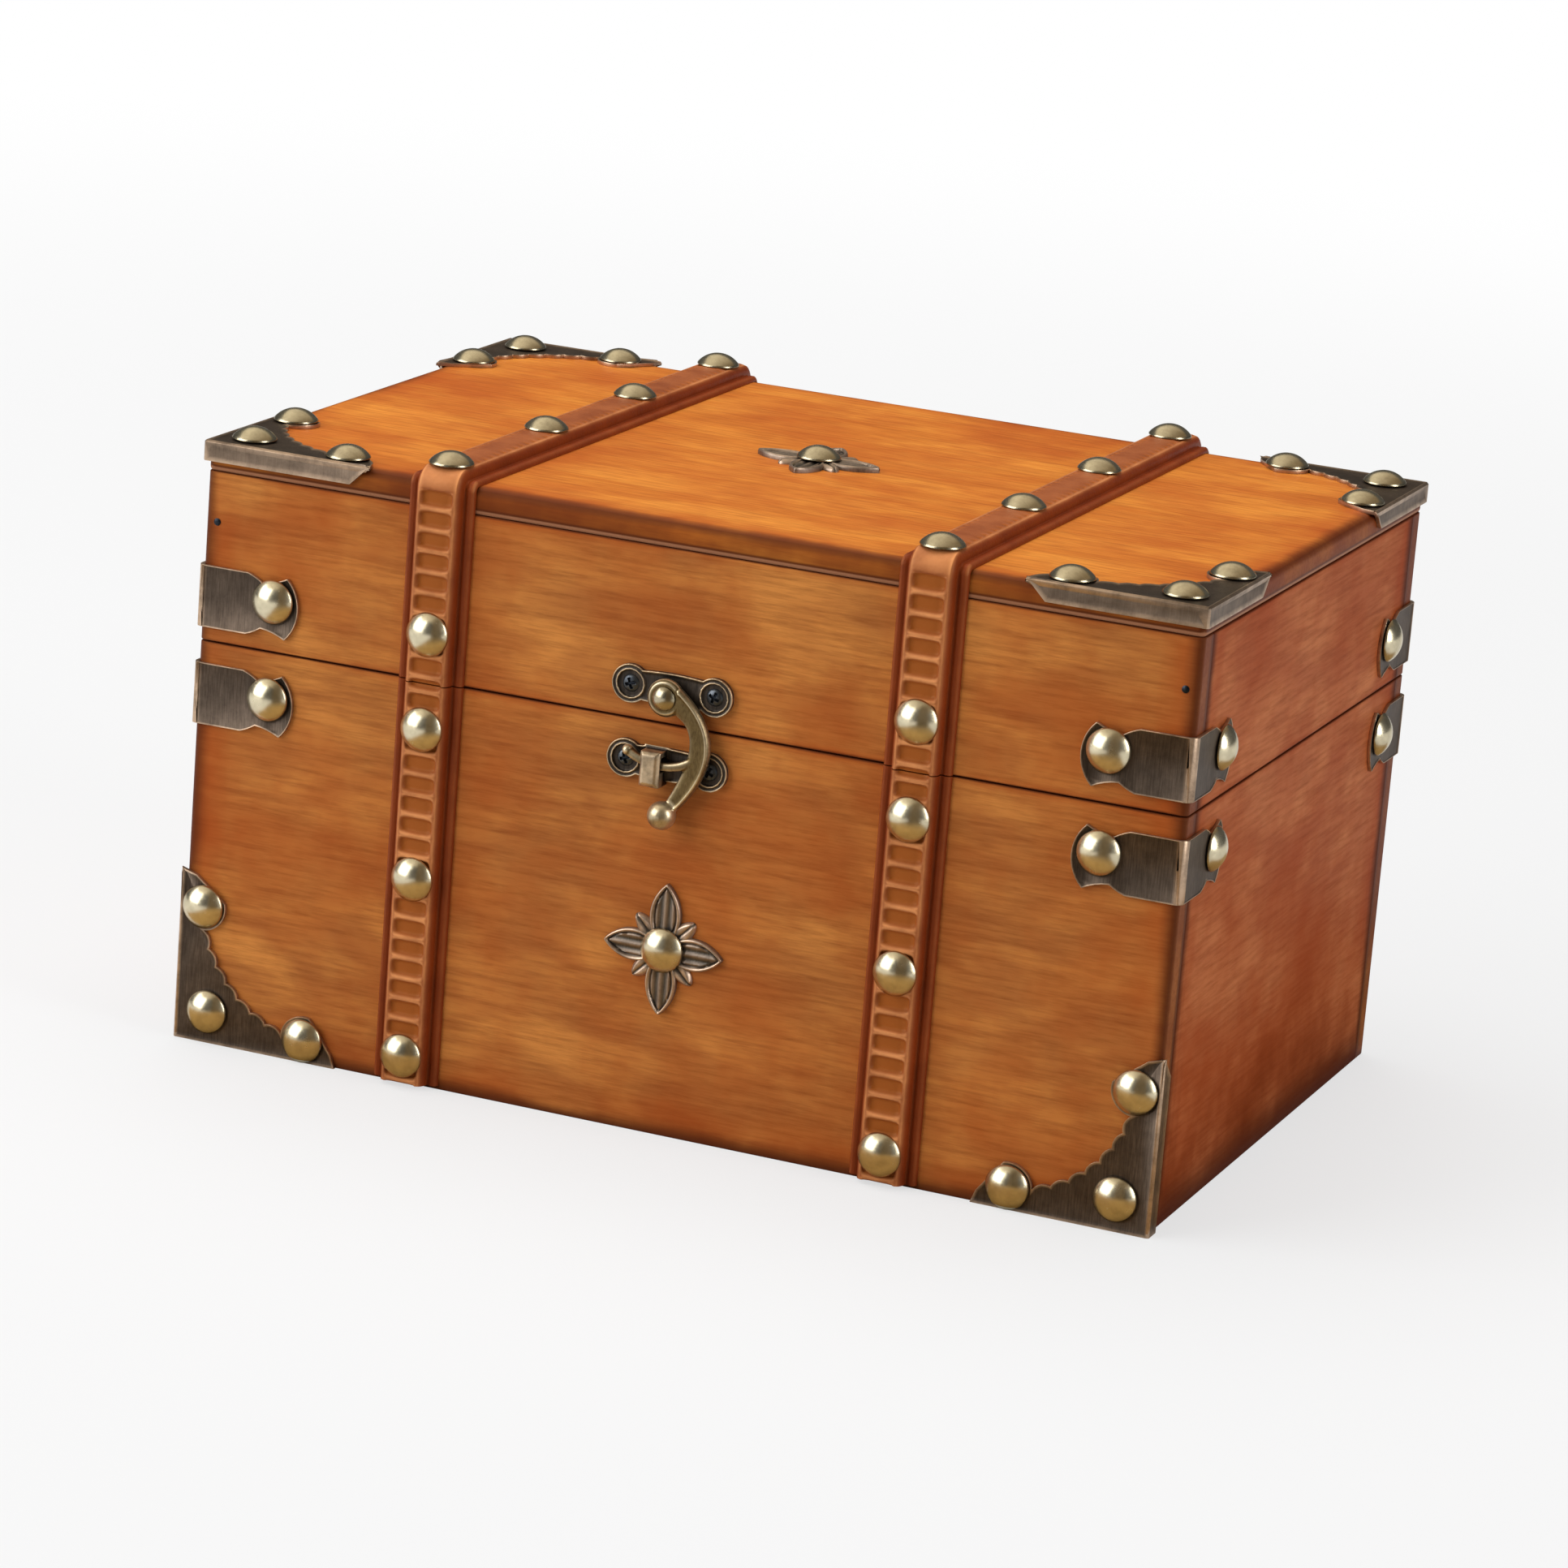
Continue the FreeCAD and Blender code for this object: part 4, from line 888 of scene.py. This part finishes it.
ARM_SOFTEN = 5
ARM_EDGE = (0.0006 * MM, 0.007 * MM)
# Handled the most, so the black has worn off: yellower, smoother and brighter than the plates.
arm_bronze = antique_bronze("handled_antique_bronze", dark="#4A3A22", flat="#86714A", bright="#E6D4B0",
                            dull=0.36, rub_length=1.2 * MM)
pivot = Vector(next(joint for joint in frame["joints"] if joint["name"] == "latch_swing")["pos_m"])
arm_middle = (ARM_BACK + ARM_FACE) / 2
arm_half = (ARM_FACE - ARM_BACK) / 2


def arm_point(flat, depth):
    """A point of the arm from its place beside the rivet and its distance out of the box."""
    return Vector((pivot.x + flat.x, front - depth, pivot.z + flat.y))


def bar(mesh, middles, sides, rim):
    """A closed bar through flat middle points, its half width a vector at each, with a rim on that side."""
    rings = []
    for middle, side in zip(middles, sides):
        ring = []
        for i in range(ARM_SIDES):
            turn = 2 * math.pi * (i + 0.5) / ARM_SIDES
            across, out = (math.copysign(abs(f(turn)) ** ARM_SQUARE, f(turn)) for f in (math.cos, math.sin))
            raised = rim * math.exp(-((across - HORN_RIM_AT) / HORN_RIM_SPREAD) ** 2) if out > 0 else 0
            depth = arm_middle + arm_half * out + raised
            ring.append(mesh.verts.new(arm_point(middle + side * across, depth)))
        rings.append(ring)
    skin_over(mesh, rings)


def through(a, b, c, share):
    """A point at a share of the way along the curve from a over b to c."""
    over = 2 * b - (a + c) / 2
    return a * (1 - share) ** 2 + over * 2 * share * (1 - share) + c * share ** 2


def polar(radius, turn):
    """A point at a distance from the rivet, turned from straight down to the right."""
    return Vector((radius * math.sin(turn), -radius * math.cos(turn)))


mesh = bmesh.new()
worn = mesh.verts.layers.float.new("worn")
neck = Vector((1, -1)).normalized() * KNOB_NECK / 2
outer = (polar(EYE_RADIUS, HORN_OUTER_ROOT), Vector((HORN_BULGE, HORN_MIDDLE)), KNOB + neck)
inner = (polar(EYE_RADIUS, HORN_INNER_ROOT), Vector((HORN_BULGE - HORN_WIDTH, HORN_MIDDLE)), KNOB - neck)
shares = np.linspace(0, 1, HORN_STEPS)
outsides = [through(*outer, share) for share in shares]
insides = [through(*inner, share) for share in shares]
middles = [(a + b) / 2 for a, b in zip(outsides, insides)]
halves = [(a - b) / 2 for a, b in zip(outsides, insides)]
bar(mesh, middles, halves, rim=HORN_RIM)
turns = np.linspace(-TONGUE_TIP_TURN, TONGUE_ROOT_TURN, TONGUE_STEPS)
flares = [TONGUE_SWELL + TONGUE_FLARE * max(0, turn / TONGUE_ROOT_TURN) ** 3 for turn in turns]
middles = [polar(TONGUE_RADIUS, turn) for turn in turns]
halves = [polar(TONGUE_HALF * flare, turn) for flare, turn in zip(flares, turns)]
bar(mesh, middles, halves, rim=0)
eye_profile = [(EYE_RADIUS - EYE_BACK_IN, ARM_BACK, 1), (EYE_RADIUS, ARM_BACK + EYE_BACK_UP, 1),
               (EYE_RADIUS, ARM_FACE - EYE_FACE_EASE, 1), (EYE_RADIUS - EYE_FACE_EASE, ARM_FACE, 1),
               (0, ARM_FACE, 1)]
face_out = Matrix.Rotation(math.pi / 2, 4, "X")
turned(mesh, worn, eye_profile, Matrix.Translation((pivot.x, front, pivot.z)) @ face_out)
tongue_end = polar(TONGUE_RADIUS, -TONGUE_TIP_TURN)
balls = ((KNOB, KNOB_RADIUS, KNOB_LIFT + KNOB_RADIUS), (tongue_end, TONGUE_TIP, arm_middle))
for middle, radius, depth in balls:
    centre = Matrix.Translation(arm_point(middle, depth))
    bmesh.ops.create_uvsphere(mesh, u_segments=32, v_segments=20, radius=radius, matrix=centre)
arm = made_piece("latch_arm_casting", mesh, arm_bronze)


def knob_wear(points):
    """The knob, where the thumb pushes it."""
    away = np.linalg.norm(points - np.array(arm_point(KNOB, KNOB_LIFT + KNOB_RADIUS)), axis=1)
    return KNOB_WEAR - KNOB_WEAR * eased_step(away, KNOB_WORN_FULL, KNOB_WORN_TO)


cast_in_one(arm, ARM_SOFTEN, *ARM_EDGE, knob_wear)
fit(arm, "latch_arm", "antique_bronze", "latch_arm")

# Rivet of the latch: a brass pin set in the lid's latch plate and headed over the eye of the arm, loose
# enough for the arm to turn. Its head is duller than the nails.
RIVET_HEAD = 2.8 * MM
RIVET_RISE = 1.5 * MM
RIVET_LIP = 0.25 * MM
RIVET_SEAT = 4.25 * MM
RIVET_SHANK = 1.3 * MM
RIVET_CLEAN = 0.6
SHANK_CLEAN = 0.3
mesh = bmesh.new()
worn = mesh.verts.layers.float.new("worn")
dome = dome_profile(RIVET_HEAD, RIVET_RISE, RIVET_LIP)
head = [(radius, height + RIVET_SEAT, RIVET_CLEAN * clean) for radius, height, clean in dome]
shank = [(RIVET_SHANK, 0, SHANK_CLEAN), (RIVET_SHANK, RIVET_SEAT, SHANK_CLEAN)]
turned(mesh, worn, shank + head, Matrix.Translation((pivot.x, front, pivot.z)) @ face_out)
fit(made_piece("latch_rivet_head", mesh, brass), "lid", "polished_brass", "latch_rivet")

# Screws of the latch plates and of the hinges: small round-headed steel screws with a pressed cross,
# blackened and driven home in the pans of the plates and through the leaves.
SCREW_RADIUS = 2.1 * MM
SCREW_RISE = 0.8 * MM
SCREW_ROUND = 0.6
SCREW_WEAR = 0.25
SCREW_TILTS = (math.radians(20), math.radians(65))
SCREW_RINGS = 9
SCREW_SPOKES = 32
CROSS_HALF = 0.32 * MM
CROSS_REACH = 1.2 * MM
CROSS_DEPTH = 0.6 * MM
# Steel, hardened and blackened in oil: a blue black with a grey shine on the rubbed heads.
screw_steel = antique_bronze("blackened_screw_steel", dark="#14161C", flat="#3A4048", bright="#9AA0A6",
                             dull=0.34)


def add_screw(mesh, worn, place):
    """A round head with a cross pressed into it."""
    rings = []
    for ring in range(SCREW_RINGS + 1):
        radius = SCREW_RADIUS * (1 - ring / SCREW_RINGS)
        row = []
        for spoke in range(SCREW_SPOKES if ring < SCREW_RINGS else 1):
            angle = 2 * math.pi * spoke / SCREW_SPOKES
            x, y = radius * math.cos(angle), radius * math.sin(angle)
            arms = min(abs(x), abs(y)) < CROSS_HALF and max(abs(x), abs(y)) < CROSS_REACH
            height = SCREW_RISE * (1 - (radius / SCREW_RADIUS) ** 2) ** SCREW_ROUND - CROSS_DEPTH * arms
            row.append(mesh.verts.new(place @ Vector((x, y, height))))
            row[-1][worn] = 0.0 if arms else SCREW_WEAR
        rings.append(row)
    close_to_crown(mesh, rings)


def screws(name, body, places):
    """The screws of one fitting as a piece."""
    mesh = bmesh.new()
    worn = mesh.verts.layers.float.new("worn")
    for place in places:
        add_screw(mesh, worn, place)
    fit(made_piece(name, mesh, screw_steel), body, "antique_bronze")


PAN_FLOOR = 0.8 * MM
LOBE_RADIUS = 4.6 * MM
for cad_node, body in (("latch_plate", "lid"), ("latch_catch_plate", "box")):
    low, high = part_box(cad_node)
    lobe_z = low.z + LOBE_RADIUS if cad_node == "latch_plate" else high.z - LOBE_RADIUS
    spots = [Vector((x, front - PAN_FLOOR, lobe_z)) for x in (low.x + LOBE_RADIUS, high.x - LOBE_RADIUS)]
    tilts = [Matrix.Rotation(tilt, 4, "Z") for tilt in SCREW_TILTS]
    screws(cad_node + "_screws", body,
           [Matrix.Translation(spot) @ face_out @ tilt for spot, tilt in zip(spots, tilts)])

# Hinges: two small butt hinges of stamped sheet on the back, each leaf with a rolled knuckle and two screws,
# on a steel pin.
HINGE_SCREW_IN = 5 * MM
HINGE_SCREW_DROP = 8.5 * MM
HINGE_FACE = 1 * MM
HINGE_WEAR = 0.4
face_back = Matrix.Rotation(-math.pi / 2, 4, "X")
for side in ("left", "right"):
    for level, body, way in (("box", "box", -1), ("lid", "lid", 1)):
        cad_node = "hinge_%s_leaf_%s" % (level, side)
        mesh = cad_copy(cad_node)
        round_and_wear(mesh, METAL_EASE)
        for vert in mesh.verts:
            vert[mesh.verts.layers.float["worn"]] *= HINGE_WEAR
        fit(made_piece(cad_node + "_sheet", mesh, iron_bronze, sharp=50), body, "antique_bronze", cad_node)
        low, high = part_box(cad_node)
        middle_z = (seam_low + seam_high) / 2 + way * HINGE_SCREW_DROP
        spots = [(x, back + HINGE_FACE, middle_z) for x in (low.x + HINGE_SCREW_IN, high.x - HINGE_SCREW_IN)]
        screws(cad_node + "_screws", body, [Matrix.Translation(spot) @ face_back for spot in spots])
    pin = frame["nodes"]["hinge_pin_" + side]
    pin.data.materials.clear()
    pin.data.materials.append(screw_steel)

# Brads: thin steel pins with small heads that hold the front rail of the lid to its sides, driven almost
# flush near each end of the rail.
BRAD_RADIUS = 0.9 * MM
BRAD_RISE = 0.35 * MM
BRAD_LIP = 0.1 * MM
BRAD_SIDES = 16
BRAD_IN = 3.2 * MM
BRAD_DROP = 18.5 * MM
mesh = bmesh.new()
worn = mesh.verts.layers.float.new("worn")
for x in (top_low.x + BRAD_IN, top_high.x - BRAD_IN):
    spot = Matrix.Translation((x, front, lid_top - BRAD_DROP)) @ face_out
    profile = [(radius, height, 0) for radius, height, _ in dome_profile(BRAD_RADIUS, BRAD_RISE, BRAD_LIP)]
    turned(mesh, worn, profile, spot, sides=BRAD_SIDES)
fit(made_piece("lid_brads", mesh, screw_steel), "lid", "antique_bronze")

# Studio floor: white painted board that runs out of sight. To the camera it is mostly white light, the more
# so the further off, and near the box it takes the soft shadow. The metal mirrors it matt near by and
# bright far off.
FLOOR_HALF = 9.0
FLOOR_NEAR = 0.3
FLOOR_FAR = 1.5
FLOOR_MIRRORED = 0.6
FLOOR_NEAR_WHITE = 0.65
floor_white = new_material("white_painted_floor")
rays = node(floor_white, "LightPath", out="Is Camera Ray")
glossy = node(floor_white, "LightPath", out="Is Glossy Ray")
clear = node(floor_white, "LightPath", out="Is Transmission Ray")
place = node(floor_white, "TexCoord", out="Object")
away = node(floor_white, "VectorMath", {0: place}, out="Value", operation="LENGTH")
behind = node(floor_white, "MapRange",
              {"Value": away, "From Min": FLOOR_NEAR, "From Max": FLOOR_FAR, "To Max": FLOOR_MIRRORED})
mirrored = node(floor_white, "Math", {0: glossy, 1: clear}, operation="MAXIMUM")
mirrored = node(floor_white, "Math", {0: mirrored, 1: behind}, operation="MULTIPLY")
seen = node(floor_white, "Math", {0: rays, 1: mirrored}, operation="MAXIMUM")
paler = node(floor_white, "MapRange",
             {"Value": away, "From Min": FLOOR_NEAR, "From Max": FLOOR_FAR, "To Min": FLOOR_NEAR_WHITE},
             interpolation_type="SMOOTHSTEP")
share = node(floor_white, "Math", {0: seen, 1: paler}, operation="MULTIPLY")
matt = node(floor_white, "BsdfDiffuse", {"Color": linear("#CFCFCF")})
bright = node(floor_white, "Emission", {"Color": linear("#FFFFFF"), "Strength": 1.0})
mixed = node(floor_white, "MixShader", {0: share, 1: matt, 2: bright})
node(floor_white, "OutputMaterial", {"Surface": mixed})
mesh = bmesh.new()
bmesh.ops.create_grid(mesh, x_segments=1, y_segments=1, size=FLOOR_HALF)
made_piece("floor", mesh, floor_white)

# Dark cloth: it lies in front of the box and along its right side, and is hung up before the camera. It is
# only there for the bright metal to mirror, as a soft dark band on each nail.
CLOTH_NEAR_HALF = 0.18
CLOTH_AWAY = 0.62
CLOTH_HEIGHT = 1.2
CLOTH_FROM = math.radians(4)
CLOTH_TO = math.radians(44)
CLOTH_BESIDE = (0.126, 0.24)
CLOTH_BACK = 0.2
CLOTH_FRONT = 1.01 * front
TAN_NEAR = 0.17
TAN_FAR = 0.4
# Cotton, plain woven and dyed: a dull brown, faded to tan in the part that lies near the box.
cloth_brown = new_material("brown_cotton_cloth")
place = node(cloth_brown, "TexCoord", out="Object")
threads = node(cloth_brown, "TexNoise", {"Vector": place, "Scale": 1 / MM})
away = node(cloth_brown, "VectorMath", {0: place}, out="Value", operation="LENGTH")
weave = node(cloth_brown, "MixRGB",
             {"Fac": threads, "Color1": linear("#625440"), "Color2": linear("#7C6C54")})
tan = node(cloth_brown, "MapRange",
           {"Value": away, "From Min": TAN_NEAR, "From Max": TAN_FAR, "To Min": 1, "To Max": 0})
weave = node(cloth_brown, "MixRGB", {"Fac": tan, "Color1": weave, "Color2": linear("#A88A58")})
node(cloth_brown, "OutputMaterial", {"Surface": node(cloth_brown, "BsdfDiffuse", {"Color": weave})})
mesh = bmesh.new()
edges = []
for turn in (CLOTH_FROM, CLOTH_TO):
    hem = Vector((math.sin(turn) * CLOTH_AWAY, -math.cos(turn) * CLOTH_AWAY, MM))
    near = Vector((-CLOTH_NEAR_HALF if turn == CLOTH_FROM else CLOTH_NEAR_HALF, CLOTH_FRONT, MM))
    edges.append([mesh.verts.new(at) for at in (near, hem, hem + Vector((0, 0, CLOTH_HEIGHT)))])
for i in range(2):
    mesh.faces.new((edges[0][i], edges[1][i], edges[1][i + 1], edges[0][i + 1]))
beside, outside = CLOTH_BESIDE
strip = ((beside, CLOTH_FRONT), (outside, CLOTH_FRONT), (outside, CLOTH_BACK), (beside, CLOTH_BACK))
mesh.faces.new([mesh.verts.new((x, y, MM)) for x, y in strip])


def only_mirrored(piece):
    """Leaves a studio piece to the reflections: it isn't seen, and neither lights nor shades anything."""
    piece.visible_camera = False
    piece.visible_diffuse = False
    piece.visible_shadow = False


only_mirrored(made_piece("dark_cloth", mesh, cloth_brown))

# Ceiling of the room: a sheet that glows a warm cream, dimmer to the right, away from the window side, and is
# seen only in reflections: a painted reflection that the metal on top of the lid mirrors instead of the lamp
# above.
CEILING_HALF = 1.5
CEILING_MIDDLE = (0, 0.2, 1.5)
CEILING_DIMMED = 0.8
ceiling_reflection_glow = new_material("glowing_ceiling_painted_reflection")
place = node(ceiling_reflection_glow, "TexCoord", out="Object")
across = node(ceiling_reflection_glow, "SeparateXYZ", {"Vector": place}, out="X")
dimmer = node(ceiling_reflection_glow, "MapRange",
              {"Value": across, "From Min": -CEILING_DIMMED, "From Max": CEILING_DIMMED})
glow_colour = node(ceiling_reflection_glow, "MixRGB",
             {"Fac": dimmer, "Color1": linear("#EADFCB"), "Color2": linear("#86745C")})
ceiling_glow_shader = node(ceiling_reflection_glow, "Emission", {"Color": glow_colour, "Strength": 1.0})
node(ceiling_reflection_glow, "OutputMaterial", {"Surface": ceiling_glow_shader})
mesh = bmesh.new()
bmesh.ops.create_grid(mesh, x_segments=1, y_segments=1, size=CEILING_HALF,
                      matrix=Matrix.Translation(CEILING_MIDDLE))
only_mirrored(made_piece("ceiling", mesh, ceiling_reflection_glow))


# Lamps and room: three soft boxes of white cloth over a frame, a broad one above, one at the left front and a
# narrower one on the right, in a dim grey room. The metal mirrors the ceiling instead of the lamp above.
def softbox(name, place, aim, size, watts):
    """A lamp at a place that faces its aim."""
    lamp = bpy.data.lights.new(name, "AREA")
    lamp.shape = "RECTANGLE"
    lamp.size, lamp.size_y = size
    lamp.energy = watts
    light = bpy.data.objects.new(name, lamp)
    light.location = place
    light.rotation_euler = (Vector(aim) - Vector(place)).to_track_quat("-Z", "Y").to_euler()
    bpy.context.scene.collection.objects.link(light)
    return light


above = softbox("light_above", place=(-0.35, 0.2, 1.7), aim=(0, 0, 0.1), size=(1.8, 1.8), watts=34)
above.visible_glossy = False
softbox("light_left_front", place=(-1.5, -1.3, 1.0), aim=(0, 0, 0.08), size=(1.8, 1.7), watts=36)
softbox("light_right", place=(1.9, -0.35, 0.8), aim=(0, 0, 0.08), size=(0.8, 1.4), watts=20)

world = bpy.data.worlds.new("grey_room")
world.use_nodes = True
world.node_tree.nodes.clear()
room = node(world, "Background", {"Color": linear("#C9C9C9"), "Strength": 0.14})
node(world, "OutputWorld", {"Surface": room})
bpy.context.scene.world = world
bpy.context.scene.view_settings.view_transform = "Standard"

# Camera: a long lens a little above the box and to its right, tipped by a few degrees, as the photo was
# taken. Its place was fitted to the corners of the box.
CAMERA_AROUND = math.radians(21.518)
CAMERA_ABOVE = math.radians(14.9925)
CAMERA_TIPPED = math.radians(4.5866)
CAMERA_AWAY = 1.42308
CAMERA_AIM = Vector((-0.0017, -0.009, 0.0683))
IMAGE_SIZE = 1932
FOCAL_PIXELS = 7236.66
level = math.cos(CAMERA_ABOVE)
away = Vector((math.sin(CAMERA_AROUND) * level, -math.cos(CAMERA_AROUND) * level, math.sin(CAMERA_ABOVE)))
right = Vector((0, 0, 1)).cross(away).normalized()
turn = Matrix((right, away.cross(right), away)).transposed() @ Matrix.Rotation(CAMERA_TIPPED, 3, "Z")
lens = bpy.data.cameras.new("camera")
lens.sensor_width = 36
lens.lens = FOCAL_PIXELS / IMAGE_SIZE * lens.sensor_width
camera = bpy.data.objects.new("camera", lens)
camera.matrix_world = Matrix.Translation(CAMERA_AIM + away * CAMERA_AWAY) @ turn.to_4x4()
bpy.context.scene.collection.objects.link(camera)
bpy.context.scene.camera = camera
